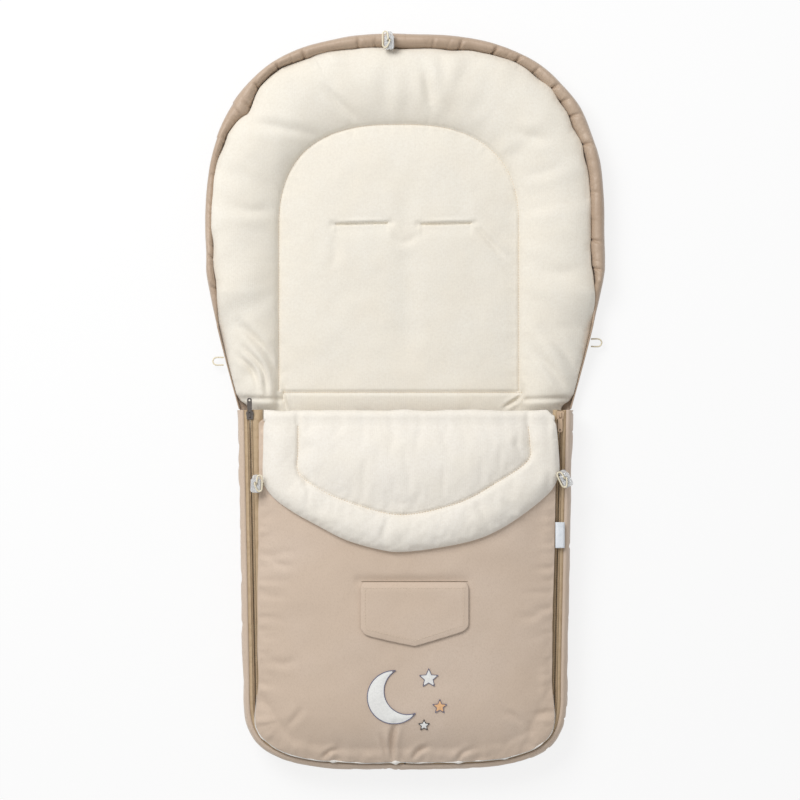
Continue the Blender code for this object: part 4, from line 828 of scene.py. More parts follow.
def placed(points, place, degrees, side):
    """Cord points turned about a lock's hole and set there; side is -1 for a mirrored loop."""
    turn = Matrix.Rotation(math.radians(degrees), 3, "Z")
    return [Vector(place) + turn @ Vector((x, side * y, z)) for x, y, z in points]


def cord_curve(name, points, finish):
    """An elastic cord as a curve of one open spline."""
    curve = bpy.data.curves.new(name, "CURVE")
    curve.dimensions = "3D"
    curve.bevel_depth = CORD_DIAMETER / 2
    curve.bevel_resolution = 4
    curve.use_fill_caps = True
    spline = curve.splines.new("POLY")
    spline.points.add(len(points) - 1)
    for slot, point in zip(spline.points, points):
        slot.co = (*point, 1.0)
    spline.use_smooth = True
    curve.materials.append(finish)
    return linked(name, curve)


def free_cord(name, points, body, node):
    """A free elastic loop, both of whose ends go back into the object."""
    fine = evenly(rounded([tuple(p) for p in points], 8), min(6 * len(points), 150))
    made = cord_curve(name, fine, FINISHES["elastic"])
    worn(made, body, "elastic", node)


def build_cords():
    """Every free cord: three loops through cord locks and two bare ones."""
    points = placed(LOOP_RISING + LOOP_FALLING, HOOD_LOCK, LOCK_TURNS["hood"], 1.0)
    points.insert(0, Vector((points[0].x, points[0].y, RIM_SURFACE + GAP)))
    points.append(Vector((points[-1].x, points[-1].y, RIM_SURFACE + GAP)))
    free_cord("hood_cord", points, "back", "hood_cord_loop")
    for side, sign, place in (("left", -1.0, LEFT_LOCK), ("right", 1.0, RIGHT_LOCK)):
        points = placed(FLAP_LOOP_IN, place, 90.0, sign)
        points += placed(LOOP_RISING + LOOP_FALLING, place, LOCK_TURNS["flap_" + side], sign)
        points += placed(FLAP_LOOP_OUT, place, 90.0, sign)
        free_cord(f"flap_elastic_{side}", points, "flap", f"flap_loop_{side}")
    for side, sign, rise in (("left", -1.0, 0.044), ("right", 1.0, 0.068)):
        y = CREASE_Y + rise
        root_x = half_width(y + 0.005) + 0.0012
        points = [Vector((sign * (root_x + out), y + along, 0.010)) for out, along in SIDE_LOOP]
        free_cord(f"side_elastic_{side}", points, "back", f"side_loop_{side}")


def paint_rigid_nodes():
    """Materials for the CAD pieces that keep their own shape."""
    looks = {"hood_drawcord_left": "elastic", "hood_drawcord_right": "elastic"}
    for side, finish in (("left", "nickel"), ("right", "zinc")):
        looks[f"zip_slider_{side}"] = finish
        looks[f"zip_pull_{side}"] = finish
    for prefix in ("hood", "flap_left", "flap_right"):
        looks[f"{prefix}_lock_body"] = "clear"
        looks[f"{prefix}_lock_plunger"] = "clear"
        looks[f"{prefix}_lock_spring"] = "steel"
    for node, finish in looks.items():
        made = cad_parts[node]
        made.data.materials.clear()
        made.data.materials.append(FINISHES[finish])


# Heights of the soft surfaces, as the part has them

widths = np.vectorize(half_width)


def rim_growth(y):
    """From 0 where the rim is thin and flat to 1 where it is full."""
    return np.clip((y - NECK_Y - RIM_START_RISE) / (RIM_FULL_RISE - RIM_START_RISE), 0.0, 1.0)


# How wide the rim shows beside the fleece: turn in degrees about the hood's centre, from 0 at the right over
# 90 at the head to 180 at the left, and width
RIM_SHOWN = (
    (-29, 0.0024), (-22, 0.0042), (-19, 0.0062), (-15, 0.0112), (-10, 0.0176), (-5, 0.0198),
    (2, 0.0190), (18, 0.0186), (25, 0.0170), (31, 0.0210), (37, 0.0185), (44, 0.0152), (51, 0.0160),
    (57, 0.0146), (64, 0.0146), (70, 0.0162), (76, 0.0200), (85, 0.0190), (92, 0.0208),
    (105, 0.0180), (112, 0.0160), (119, 0.0160), (127, 0.0120), (135, 0.0146), (140, 0.0205),
    (144, 0.0245), (147, 0.0190), (152, 0.0132), (158, 0.0110), (165, 0.0078), (180, 0.0084),
    (187, 0.0110), (195, 0.0112), (202, 0.0062), (206, 0.0026), (210, 0.0024),
)

# Least width of the rim's casing where it is gathered
CASING_WIDTH = 0.0115

# Gathers that the cord draws in from the rim's inner edge: turn in degrees, and depth
RIM_DARTS = (
    (-11, 0.0040), (-3, 0.0046), (11, 0.0016), (25, 0.0048), (34, 0.0042), (39, 0.0028),
    (44, 0.0054), (51, 0.0034), (57, 0.0050), (64, 0.0054), (74, 0.0040), (82, 0.0018),
    (98, 0.0018), (103, 0.0032), (119, 0.0048), (127, 0.0044), (135, 0.0044), (141, 0.0026),
    (147, 0.0022), (172, 0.0018), (187, 0.0026), (196, 0.0026),
)


def hood_turn(x, y):
    """The turn of a place about the hood's centre, in degrees from -60 to 300."""
    turn = np.degrees(np.arctan2(y - ARCH_Y, x))
    return np.where(turn < -60, turn + 360, turn)


def rim_shown(x, y):
    """Width of the rim that the fleece leaves in sight."""
    turns, shown = zip(*RIM_SHOWN)
    return np.interp(hood_turn(x, y), turns, shown)


def rim_width(x, y):
    """Width of the rim's casing, whose inner edge lies under the fleece where little of it shows."""
    least = RIM_THIN_WIDTH + (CASING_WIDTH - RIM_THIN_WIDTH) * rim_growth(y)
    return np.maximum(rim_shown(x, y), least)


def rim_height(y):
    """Height of the rim's top."""
    low = BACK_EDGE_HEIGHT + 0.012 * eased((y - CREASE_Y) / RIM_START_RISE)
    return low + (RIM_HEIGHT - low) * rim_growth(y)


def front_reach(x, y):
    """From 0 in the front's middle to 1 at its edge."""
    across = np.abs(x) / (widths(np.maximum(y, FOOT_Y)) - FRONT_INSET)
    along = np.maximum(FOOT_Y - y, 0.0) / (FOOT_ARCH_LENGTH - FRONT_INSET)
    return np.minimum((across**FOOT_EXPONENT + along**FOOT_EXPONENT) ** (1 / FOOT_EXPONENT), 1.0)


def mouth_swell(y):
    """How much of its crown the front has, less towards the mouth."""
    return MOUTH_CROWN_SHARE + (1.0 - MOUTH_CROWN_SHARE) * eased((FOLD_Y - y) / MOUTH_RAMP_LENGTH)


def front_top(x, y):
    """The front's outer face."""
    swell = 1.0 - front_reach(x, y) ** 3.2
    return ZIP_HEIGHT + FRONT_EDGE / 2 + FRONT_CROWN * swell * mouth_swell(y)


def front_low(x, y):
    """The front's inner face."""
    swell = 1.0 - front_reach(x, y) ** 2
    return ZIP_HEIGHT - FRONT_EDGE / 2 + 0.011 * swell * mouth_swell(y)


def quilted(seam_gap, edge_gap, inside, seam, panel_puff, border_puff, edge, panel_reach=0.150, exponent=0.7):
    """Height across a quilted pad: a low crown inside its seam and a full border from there to its edge."""
    across = seam_gap / (seam_gap + edge_gap + 1e-9)
    border = seam + (edge - seam) * across + border_puff * (4 * across * (1 - across)) ** exponent
    panel = seam + panel_puff * (1 - (1 - np.clip(seam_gap / panel_reach, 0, 1)) ** 4)
    return np.where(inside, panel, border)


# The mat

BACK_SEAM_WIDTH = 0.311
BACK_SEAM_ARCH = 0.1375
BACK_SEAM_SHIFT = -0.008
SLOT_Y = 0.2285
SLOTS = ((-0.0930, -0.0190), (0.0178, 0.0892))
SEAT_SEAM_Y = 0.0112
SEAT_SEAM = (-0.158, 0.152)


def back_seam(start_y):
    """The seam up both sides of the back and over in an arch."""
    top = arch(ARCH_Y, BACK_SEAM_WIDTH, BACK_SEAM_ARCH, HOOD_EXPONENT, 240)
    side = BACK_SEAM_WIDTH / 2
    return np.concatenate([[(side, start_y)], top, [(-side, start_y)]]) + (BACK_SEAM_SHIFT, 0.0)


def lining_outline():
    """The fleece's edge: inside the bag's wall, then beside the rim, drawn in and out by its gathers."""
    path = hood_path(-0.045, 480)
    run = np.linspace(0.0, 1.4, len(path))
    drawn = 0.0013 * wave(run, 0.022, 14) * rim_growth(path[:, 1])
    beside = rim_shown(path[:, 0], path[:, 1]) + 0.0006
    in_bag = 0.0140
    inset = beside + (in_bag - beside) * eased((CREASE_Y - 0.004 - path[:, 1]) / 0.016)
    return path - sideways(path) * (inset + drawn)[:, None]


def lining_height(co, outline, seam):
    """Height of the back's fleece and of its run into the bag."""
    y = co[:, 1]
    panel = 0.0088 * eased((y + 0.055) / 0.064)
    border = 0.0176 * eased((y + 0.032) / 0.036)
    edge = BACK_EDGE_HEIGHT + 0.017 * rim_growth(y)
    return quilted(gap_to(co, seam), gap_to(co, outline), within(co, seam), SEAM_HEIGHT, panel, border, edge)


# Soft folds, each with its line, depth and width
BACK_FOLDS = (
    (((0.0255, 0.4260), (0.0290, 0.4060), (0.0344, 0.3800)), 0.0032, 0.0060),
    (((-0.1010, 0.4020), (-0.0840, 0.3830), (-0.0620, 0.3630)), 0.0030, 0.0055),
    (((-0.2100, 0.3590), (-0.1620, 0.3520), (-0.1040, 0.3420)), 0.0024, 0.0065),
    (((0.1400, 0.3470), (0.1640, 0.3400), (0.1900, 0.3320)), 0.0018, 0.0065),
    (((0.0900, 0.2270), (0.1080, 0.2080), (0.1300, 0.1850)), 0.0028, 0.0040),
    (((-0.2145, 0.1013), (-0.1810, 0.0658), (-0.1645, 0.0330)), 0.0048, 0.0050),
    (((-0.2160, 0.0594), (-0.1970, 0.0400), (-0.1880, 0.0142)), 0.0036, 0.0036),
    (((0.1760, 0.0930), (0.2000, 0.0700), (0.2240, 0.0340)), 0.0034, 0.0060),
    (((0.1700, 0.0620), (0.1900, 0.0380), (0.2060, 0.0160)), 0.0026, 0.0050),
    (((-0.0930, 0.2150), (-0.0900, 0.1900), (-0.0960, 0.1700)), 0.0014, 0.0070),
    (((-0.1580, 0.0200), (-0.1570, 0.0040), (-0.1520, -0.0140)), 0.0036, 0.0024),
    (((0.1520, 0.0200), (0.1500, 0.0060), (0.1280, -0.0090)), 0.0034, 0.0024),
    (((0.0420, 0.4480), (0.0490, 0.4280), (0.0560, 0.4100)), 0.0014, 0.0075),
    (((-0.2070, 0.0690), (-0.1840, 0.0400), (-0.1780, 0.0040)), 0.0040, 0.0036),
    (((0.2050, 0.3020), (0.1750, 0.2930), (0.1500, 0.2890)), 0.0013, 0.0070),
    (((-0.2250, 0.2500), (-0.2000, 0.2440), (-0.1760, 0.2470)), 0.0016, 0.0060),
    (((0.2300, 0.1720), (0.2040, 0.1650), (0.1650, 0.1690)), 0.0011, 0.0070),
    (((-0.0180, 0.2160), (-0.0020, 0.2050), (0.0200, 0.2160)), 0.0012, 0.0050),
)


def slot_relief(x, y, start, end):
    """Heights of one harness slot: a bound slit with a lip above it and a dip at each end."""
    rise = SLOT_Y + 0.0016 * (x - start) / (end - start)
    run = eased((x - start) / 0.006) * eased((end - x) / 0.006)
    lens = np.sin(math.pi * np.clip((x - start) / (end - start), 0, 1))
    z = 0.0016 * run * lens * bell(y - rise - 0.0044, 0.0026)
    z -= 0.0048 * run * bell(y - rise, 0.0016) + 0.0022 * run * bell(y - rise + 0.004, 0.0090)
    for end_x in (start, end):
        z -= 0.0028 * bell(x - end_x, 0.0045) * bell(y - rise, 0.0045)
    return z


def sewn_lining(co, outline, seam):
    """The lining's points with its seam, puckers, folds, seat crease and slots worked in."""
    x, y, z = co.T
    flat = co[:, :2]
    seam_gap, seam_along = distance(flat, seam)
    edge_gap = gap_to(flat, outline)
    z += 0.0010 * ripple(x, y, 0.046, 11) + 0.0005 * ripple(x, y, 0.018, 12)
    border = np.where(within(flat, seam), 0.0, eased(seam_gap / 0.020) * eased(edge_gap / 0.006))
    drawn = border * eased((y - 0.010) / 0.030)
    round_hood = np.radians(hood_turn(x, y)) * HOOD_RADIUS
    z += 0.0015 * drawn * ripple(round_hood, 0.35 * edge_gap, 0.021, 15)
    z -= 0.0030 * bell(seam_gap, 0.0022) * (y > 0.012)
    pucker = wave(seam_along * 1.1, 0.0075, 13)
    z += 0.0005 * pucker * bell(seam_gap, 0.012) * (1 - bell(seam_gap, 0.003))
    z -= 0.0020 * bell(x - 0.003, 0.016) * eased((y - 0.03) / 0.05) * eased((0.30 - y) / 0.06)
    for line, depth, width in BACK_FOLDS:
        z += fold(co, line, depth, width)
    middle = (x > SEAT_SEAM[0]) & (x < SEAT_SEAM[1])
    beside = bell(y - 0.0020 - 0.03 * (np.abs(x) - 0.16), 0.0034)
    z -= np.where(middle, 0.0026 * bell(y - SEAT_SEAM_Y, 0.0024), 0.0030 * beside)
    for start, end in SLOTS:
        z += slot_relief(x, y, start, end)
    under_pull = bell(x + 0.199, 0.011) * bell(y - 0.036, 0.013)
    z -= 0.0048 * under_pull
    z[:] = np.maximum(z, 0.0100)
    return co


def build_lining():
    """The back's fleece, which runs down into the bag."""
    outline = lining_outline()
    seam = back_seam(-0.060)

    def height(co):
        return lining_height(co, outline, seam)

    lining = cloth_patch("mat_lining", outline, height, CLOTH_STEP, FINISHES["fleece"])
    flat = places(lining)[:, :2]
    held = (gap_to(flat, seam) < 0.0034) | (gap_to(flat, outline, closed=True) < 0.0010)
    inflate(lining, held | (np.abs(flat[:, 1] - SEAT_SEAM_Y) < 0.0027), 0.03, 0.005)
    refine(lining)
    put(lining, sewn_lining(places(lining), outline, seam))
    surface = Surface(lining)
    walled(lining, lowered(UNDERSIDE), floor=True)
    bent(lining, "fleece", "back_lining", "back_wadding")
    return surface


def build_underside():
    """The twill that covers the whole underside."""
    seam = back_seam(-0.060)
    right = np.array([(half_width(y), y) for y in np.linspace(FOOT_Y, ARCH_Y, 80)[1:-1]])
    head = arch(ARCH_Y, HOOD_WIDTH, HOOD_ARCH_LENGTH, HOOD_EXPONENT, 300)
    foot = arch(FOOT_Y, FOOT_WIDTH, -FOOT_ARCH_LENGTH, FOOT_EXPONENT, 300)[::-1]
    whole = np.concatenate([right, head, right[::-1] * (-1, 1), foot]) * (0.992, 0.996)

    def height(co):
        border = np.clip(1 - gap_to(co, whole, closed=True) / 0.016, 0, 1)
        lift = 0.0015 * bell(gap_to(co, seam), 0.005) + 0.0062 * border**2
        return 0.0001 + lift + 0.0003 * (1 + ripple(*co.T, 0.03, 21))

    shell = cloth_patch("mat_shell", whole, height, COARSE_STEP, FINISHES["under"])
    refine(shell, 1)
    thicken(shell, 0.0009, 1.0)
    bent(shell, "cloth", "back_shell", "leg_shell")


def build_leg_fleece():
    """The fleece that the legs lie on."""
    outline = bag_outline(-0.024, 240)
    outline = outline + sideways(outline) * 0.0128
    foot = arch(FOOT_Y, 0.314, -0.071, 2.6, 60)
    seam = evenly(bay(np.linspace(-0.03, FOOT_Y, 20), lambda y: 0.157, foot), 160)

    def height(co):
        ramp = eased((CREASE_Y - co[:, 1]) / 0.060)
        gaps = gap_to(co, seam), gap_to(co, outline)
        return quilted(*gaps, within(co, seam), SEAM_HEIGHT, 0.008 * ramp, 0.007 * ramp, 0.0140) - 0.0006

    legs = cloth_patch("leg_fleece", outline, height, COARSE_STEP, FINISHES["fleece"])
    refine(legs, 1)
    walled(legs, lowered(UNDERSIDE), floor=True)
    worn(legs, "bag", "fleece", "leg_lining", "leg_wadding")


# The rim of the hood


def build_rim():
    """The gathered casing: pleats of twill drawn up on the cord, thin and flat towards the seat."""
    path = hood_path(-0.0105, 1300)
    ways = sideways(path)
    x, y = path.T
    s = run_along(path)
    growth = rim_growth(y)
    wide = rim_width(x, y)
    covered = 1.0 - rim_shown(x, y) / wide
    wide = wide * (1 + 0.05 * growth * wave(s, 0.050, 31))
    tall = (rim_height(y) - 0.0015) * (1.0 - 0.70 * covered)
    tall = tall * (1 + 0.06 * growth * wave(s, 0.042, 32, 3))
    turns = hood_turn(x, y)
    angles = np.linspace(0.0, 2 * math.pi, 26, endpoint=False)
    out = np.sign(np.cos(angles)) * np.abs(np.cos(angles)) ** 0.86
    up = np.sign(np.sin(angles)) * np.abs(np.sin(angles)) ** 0.92
    level = (up + 1) / 2
    inner = 0.06 + 0.94 * np.clip((0.95 - out) / 1.5, 0.0, 1.0) ** 1.3
    rings = []
    for k in range(len(path)):
        half_w, half_h = wide[k] / 2, tall[k] / 2
        lean = 0.004 * level * np.sign(x[k]) + 0.0045 * out
        broad = np.abs(wave(s[k] + lean, 0.019, 33))
        narrow = np.abs(wave(s[k] - lean, 0.0078, 34, 7))
        dart = 0.0012 * np.exp(-((broad / 0.13) ** 1.4)) + 0.0007 * np.exp(-((narrow / 0.16) ** 1.4))
        for turn, depth in RIM_DARTS:
            gap = math.radians(turns[k] - turn) * HOOD_RADIUS + 0.6 * lean
            dart = dart + depth * bell(gap, 0.0026 + 0.0012 * out)
        large = wave(s[k] + lean, 0.038, 35, 2)
        pinch = growth[k] * np.clip(level * 1.8 - 0.10, 0, 1) * (dart * inner - 0.0016 * large)
        wander = 0.0009 * growth[k] * wave(s[k], 0.040, 36, 5)
        middle = path[k] - ways[k] * (half_w + 0.0004 - wander)
        across = out * np.maximum(half_w - 0.35 * pinch, 0.0008)
        heights = 0.0015 + half_h + up * (half_h - 1.15 * pinch)
        rings.append(np.column_stack([middle + np.outer(across, ways[k]), heights]))
    bent(rings_object("hood_rim", rings, FINISHES["rim"]), "cloth", "hood_rim_casing")


# The bag

# Profile of the side wall, down its outer face and up its inner one: inset, and share of the zip's height
GUSSET_OUTER = (
    (0.0092, 1.028), (0.0050, 0.99), (0.0022, 0.90), (0.0008, 0.78), (0.0, 0.62), (0.0, 0.46),
    (0.0010, 0.32), (0.0030, 0.18), (0.0056, 0.08), (0.0090, 0.03),
)
GUSSET_INNER = (
    (0.0128, 0.03), (0.0098, 0.16), (0.0040, 0.40), (0.0038, 0.60), (0.0060, 0.80), (0.0096, 0.966),
)


def gusset_bulge(spot, s, up):
    """How far the wall's outer face stands out, with its creases, most of them round the foot's corners."""
    x, y = spot
    body = math.sin(math.pi * min(up, 1.0))
    bulge = 0.0020 * ripple(s + 0.02 * up, 0.8 * up, 0.046, 41) * body
    bulge += 0.0007 * ripple(s - 0.01 * up, 1.3 * up, 0.015, 43) * body
    bulge -= 0.0030 * body * bell(x + 0.020, 0.004) * (y < -0.4)
    crease = bell(ripple(s + 0.012 * up, 0.4 * up, 0.022, 42), 0.13)
    corner = bell(abs(x) - 0.165, 0.06) * (y < -0.33)
    bulge -= (0.0017 + 0.0012 * corner) * body * crease
    return min(bulge, 0.0016)


def build_gusset():
    """The padded side wall, creased where it goes round the foot."""
    path = bag_outline(-0.0117, 900)
    rings = []
    for spot, way, s in zip(path, sideways(path), run_along(path)):
        profile = [(inset - gusset_bulge(spot, s, up), up) for inset, up in GUSSET_OUTER]
        profile += GUSSET_INNER
        rings.append([(*(spot + way * inset), ZIP_HEIGHT * up) for inset, up in profile])
    gusset = rings_object("gusset_wall", rings, FINISHES["twill"])
    worn(gusset, "bag", "cloth", "gusset")


def front_inset(x, y):
    """How far the front's edge lies inside the outline: less on the right, and least round the foot."""
    left = 0.0285 + (0.0213 - 0.0285) * eased((FOLD_Y - y) / 0.30)
    side = np.where(x < 0, left, 0.0215)
    return side + (0.0128 - side) * eased((-0.352 - y) / 0.085)


def front_outline(count):
    """The front's edge, slightly drawn in and out by its seam."""
    path = bag_outline(FOLD_Y, count)
    run = np.linspace(0.0, 1.2, len(path))
    drawn = 0.0006 * wave(run, 0.034, 55) + 0.0003 * wave(run, 0.011, 56)
    return path + sideways(path) * (front_inset(*path.T) + drawn)[:, None]


POCKET_OFFSET = 0.012
POCKET_HALF_WIDTH = 0.0685
POCKET_Y = -0.230
POCKET_SEAM_HEIGHT = 0.0772
# Place, radius, face and edge of each felt star
STARS = (
    (0.030, -0.352, 0.0125, "felt", "satin"),
    (0.044, -0.388, 0.0095, "peach", "satin"),
    (0.024, -0.412, 0.0075, "felt", "dark_satin"),
)
FRONT_FOLDS = (
    (((-0.0160, -0.4570), (-0.0170, -0.4350), (-0.0120, -0.4080)), 0.0046, 0.0036),
    (((-0.0230, -0.4570), (-0.0260, -0.4400), (-0.0300, -0.4260)), 0.0030, 0.0032),
    (((0.0080, -0.4580), (0.0180, -0.4460), (0.0300, -0.4400)), 0.0030, 0.0034),
    (((-0.1060, -0.4560), (-0.0960, -0.4480), (-0.0860, -0.4460)), 0.0026, 0.0030),
    (((0.0660, -0.4600), (0.0740, -0.4500), (0.0860, -0.4450)), 0.0024, 0.0034),
    (((-0.1750, -0.2000), (-0.1600, -0.2080), (-0.1420, -0.2110)), 0.0014, 0.0050),
    (((0.1760, -0.2700), (0.1600, -0.2760), (0.1450, -0.2750)), 0.0013, 0.0050),
    (((-0.1740, -0.3300), (-0.1560, -0.3350), (-0.1380, -0.3300)), 0.0013, 0.0055),
    (((0.1500, -0.4120), (0.1380, -0.4010), (0.1260, -0.3950)), 0.0016, 0.0045),
    (((-0.1500, -0.4150), (-0.1390, -0.4030), (-0.1300, -0.3900)), 0.0016, 0.0045),
)


def sewn_front(co, outline):
    """The front's points with edge puckers, soft waves, folds and the pocket's seam worked in."""
    x, y, z = co.T
    gap, along = distance(co[:, :2], outline)
    run = along * 1.22
    z += 0.0013 * bell(gap, 0.016) * (1 - bell(gap, 0.0025)) * wave(run, 0.0085, 51)
    foot = eased((FOOT_Y + 0.02 - y) / 0.06)
    z += 0.0016 * foot * bell(gap, 0.024) * wave(run, 0.0120, 52, 5)
    z += eased(gap / 0.02) * (0.0012 * ripple(x, y, 0.060, 53) + 0.0005 * ripple(x, y, 0.021, 54))
    for line, depth, width in FRONT_FOLDS:
        z += fold(co, line, depth, width) * eased(gap / 0.004)
    beside = eased((x + 0.068) / 0.009) * eased((0.092 - x) / 0.009)
    z += beside * bell(y - POCKET_Y - 0.0015, 0.0065) * (POCKET_SEAM_HEIGHT - z)
    return co


def build_front_pad():
    """The front: a padded dome of twill, held by the zips round its edge and by the pocket's seam."""
    outline = front_outline(480)

    def height(co):
        return np.maximum(front_top(*co.T) - 0.0030 * (1 - front_reach(*co.T) ** 4), 0.0572)

    front = cloth_patch("front_pad", outline, height, CLOTH_STEP, FINISHES["twill"])
    held = gap_to(places(front)[:, :2], outline, closed=True) < 0.0010
    inflate(front, held, 0.02, 0.006)
    refine(front)
    put(front, sewn_front(places(front), outline))
    surface = Surface(front)
    walled(front, tucked(0.0565, 0.0040), lowered(0.0500), floor=True)
    worn(front, "bag", "cloth", "front_shell", "front_wadding")
    return surface


def build_front_inside():
    """The fleece on the front's inner side."""
    outline = bag_outline(FOLD_Y, 500)
    outline = outline + sideways(outline) * FRONT_INSET

    def height(co):
        return front_low(*co.T)

    inside = cloth_patch("front_inside", outline, height, COARSE_STEP, FINISHES["fleece"])
    thicken(inside, 0.0012, -1.0)
    worn(inside, "bag", "fleece", "front_lining")


# The flap

FLAP_EDGE_POINTS = (
    (-0.1805, -0.0220), (-0.1812, -0.0600), (-0.1812, -0.1006), (-0.1705, -0.1203),
    (-0.1464, -0.1388), (-0.1114, -0.1580), (-0.0732, -0.1770), (-0.0255, -0.1897),
    (0.0000, -0.1910), (0.0382, -0.1866), (0.0859, -0.1770), (0.1210, -0.1626), (0.1560, -0.1401),
    (0.1850, -0.1160), (0.1955, -0.0960), (0.1970, -0.0815), (0.1940, -0.0402), (0.1905, -0.0220),
)
FLAP_SEAM_POINTS = (
    (-0.1363, -0.0220), (-0.1362, -0.0600), (-0.1350, -0.0917), (-0.1060, -0.1130),
    (-0.0731, -0.1274), (-0.0064, -0.1440), (0.0662, -0.1293), (0.1150, -0.1040), (0.1560, -0.0760),
    (0.1585, -0.0500), (0.1554, -0.0220),
)
FLAP_FOLDS = (
    (((-0.1340, -0.0940), (-0.1220, -0.1080), (-0.1120, -0.1240)), 0.0016, 0.0040),
    (((-0.1280, -0.1000), (-0.1230, -0.1180), (-0.1240, -0.1340)), 0.0014, 0.0036),
    (((0.1500, -0.0700), (0.1420, -0.0560), (0.1440, -0.0420)), 0.0014, 0.0040),
    (((-0.0200, -0.1460), (-0.0260, -0.1660), (-0.0240, -0.1840)), 0.0016, 0.0050),
    (((0.0900, -0.1220), (0.0980, -0.1420), (0.1080, -0.1580)), 0.0018, 0.0050),
)

# How far before the fold the flap's sewn shape gives way to an even run over it
FOLD_REACH = 0.0110
FLAP_THICKNESS = 0.010


def flap_ramp(y):
    """How much of its swell the flap has, less near the fold."""
    return 0.35 + 0.65 * eased((FOLD_Y - y) / 0.030)


def flap_low(x, y):
    """Underside of the flap, as it lies on the front."""
    return np.maximum(front_top(x, y) + FLAP_CLEARANCE, 0.0585 * (np.abs(x) > 0.186))


def flap_top(co, outline, seam):
    """Height of the flap's fleece before it is filled out."""
    gaps = gap_to(co, seam), gap_to(co, outline)
    full = quilted(*gaps, within(co, seam), FLAP_THICKNESS, 0.0070, 0.0095, 0.0075, 0.060, 0.6)
    x, y = co.T
    swell = (full - FLAP_THICKNESS) * flap_ramp(y) * eased((FOLD_Y - y) / 0.008)
    return flap_low(x, y) + FLAP_THICKNESS + swell


def sewn_flap(co, outline, seam):
    """The flap's points with its seam, puckers and folds worked in."""
    x, y, z = co.T
    seam_gap, seam_along = distance(co[:, :2], seam)
    edge_gap, edge_along = distance(co[:, :2], outline)
    ramp = flap_ramp(y)
    z -= 0.0032 * bell(seam_gap, 0.0021) * eased((FOLD_Y - y) / 0.004)
    near = bell(seam_gap, 0.010) * (1 - bell(seam_gap, 0.003))
    z += 0.0006 * near * wave(seam_along * 0.42, 0.0085, 61) * ramp
    wall = bell(edge_gap, 0.008) * (1 - bell(edge_gap, 0.002))
    z += 0.0010 * wall * wave(edge_along * 0.56, 0.0100, 62) * ramp
    z += 0.0007 * ripple(x, y, 0.040, 63) * eased(edge_gap / 0.01) * ramp
    for line, depth, width in FLAP_FOLDS:
        z += fold(co, line, depth, width) * eased(edge_gap / 0.004)
    return co


def smoothed(values, reach):
    """The running mean over so many neighbours on each side."""
    window = np.ones(2 * reach + 1) / (2 * reach + 1)
    return np.convolve(np.pad(values, reach, mode="edge"), window, mode="valid")


def run_over_fold(co, surface):
    """Evens the flap out towards the fold; returns places across and the heights it reaches there."""
    x, y, z = co.T
    across = np.linspace(x.min(), x.max(), 400)

    def heights(row_y):
        row = np.column_stack([across, np.full(400, row_y)])
        found = surface.over(row, 0.0)
        return smoothed(np.where(found > 0, found, flap_low(across, FOLD_Y) + FLAP_THICKNESS), 3)

    brink = FOLD_Y - FOLD_REACH
    at_brink = heights(brink)
    slopes = smoothed((at_brink - heights(brink - 0.006)) / 0.006, 10)
    past = np.clip(y - brink, 0.0, FOLD_REACH)
    onward = np.interp(x, across, at_brink)
    onward += np.interp(x, across, slopes) * (past - past**2 / (2 * FOLD_REACH))
    z += eased(past / 0.0040) * (onward - z)
    return across, at_brink + slopes * FOLD_REACH / 2


def build_flap_fleece(outline, seam):
    """The turned-down flap's fleece side; returns its surface, and its places and heights at the fold."""

    def height(co):
        return flap_top(co, outline, seam)

    def wall(point):
        low = float(flap_low(point.x, point.y))
        inwards = point.xy * 0.994 + Vector((0.0001, -0.0006))
        return Vector((*inwards, min(low + 0.0022, point.z)))

    fleece = cloth_patch("flap_fleece", outline, height, 0.0048, FINISHES["flap_fleece"])
    flat = places(fleece)[:, :2]
    held = (gap_to(flat, seam) < 0.0030) | (gap_to(flat, outline, closed=True) < 0.0010)
    inflate(fleece, held, 0.012, 0.005)
    refine(fleece)
    co = sewn_flap(places(fleece), outline, seam)
    put(fleece, co)
    surface = Surface(fleece)
    at_fold = run_over_fold(co, surface)
    put(fleece, co)
    walled(fleece, wall)
    worn(fleece, "flap", "fleece", "flap_lining", "flap_wadding")
    return surface, at_fold


def build_flap_twill(outline):
    """The flap's outer cloth, which lies below while it is turned down."""
    outline = outline * 0.996 + (0.0001, -0.0004)

    def height(co):
        return flap_low(*co.T) + 0.0002

    twill = cloth_patch("flap_twill", outline, height, 0.0080, FINISHES["twill"])
    thicken(twill, 0.0022, 1.0)
    worn(twill, "flap", "cloth", "flap_shell")


def build_fold_roll(across, levels):
    """The rolled fold that joins the flap to the front, from the flap's heights at the fold."""
    rings = []
    outer = np.linspace(-math.pi / 2, math.pi / 2, 15)
    inner = np.linspace(math.pi / 2, -math.pi / 2, 9)[1:-1]
    for x in np.linspace(FLAP_EDGE_POINTS[0][0], FLAP_EDGE_POINTS[-1][0], 240):
        low = float(front_low(x, FOLD_Y)) - 0.0004
        high = float(np.interp(x, across, levels))
        middle, half = (low + high) / 2, (high - low) / 2
        bulge = 0.0102 * (1 + 0.10 * wave(x, 0.030, 64) + 0.05 * wave(x, 0.011, 65))
        bulge *= 0.35 + 0.65 * eased((0.1905 - abs(x)) / 0.010)
        ring = [(x, FOLD_Y + bulge * math.cos(t) ** 0.8, middle + half * math.sin(t)) for t in outer]
        ring.append((x, FOLD_Y - 0.0035, high - 0.0003))
        ring += [(x, FOLD_Y - 0.004, middle + (half - 0.0015) * math.sin(t)) for t in inner]
        rings.append(ring)
    roll = rings_object("fold_roll", rings, FINISHES["flap_fleece"])
    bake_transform(roll)


# Zips


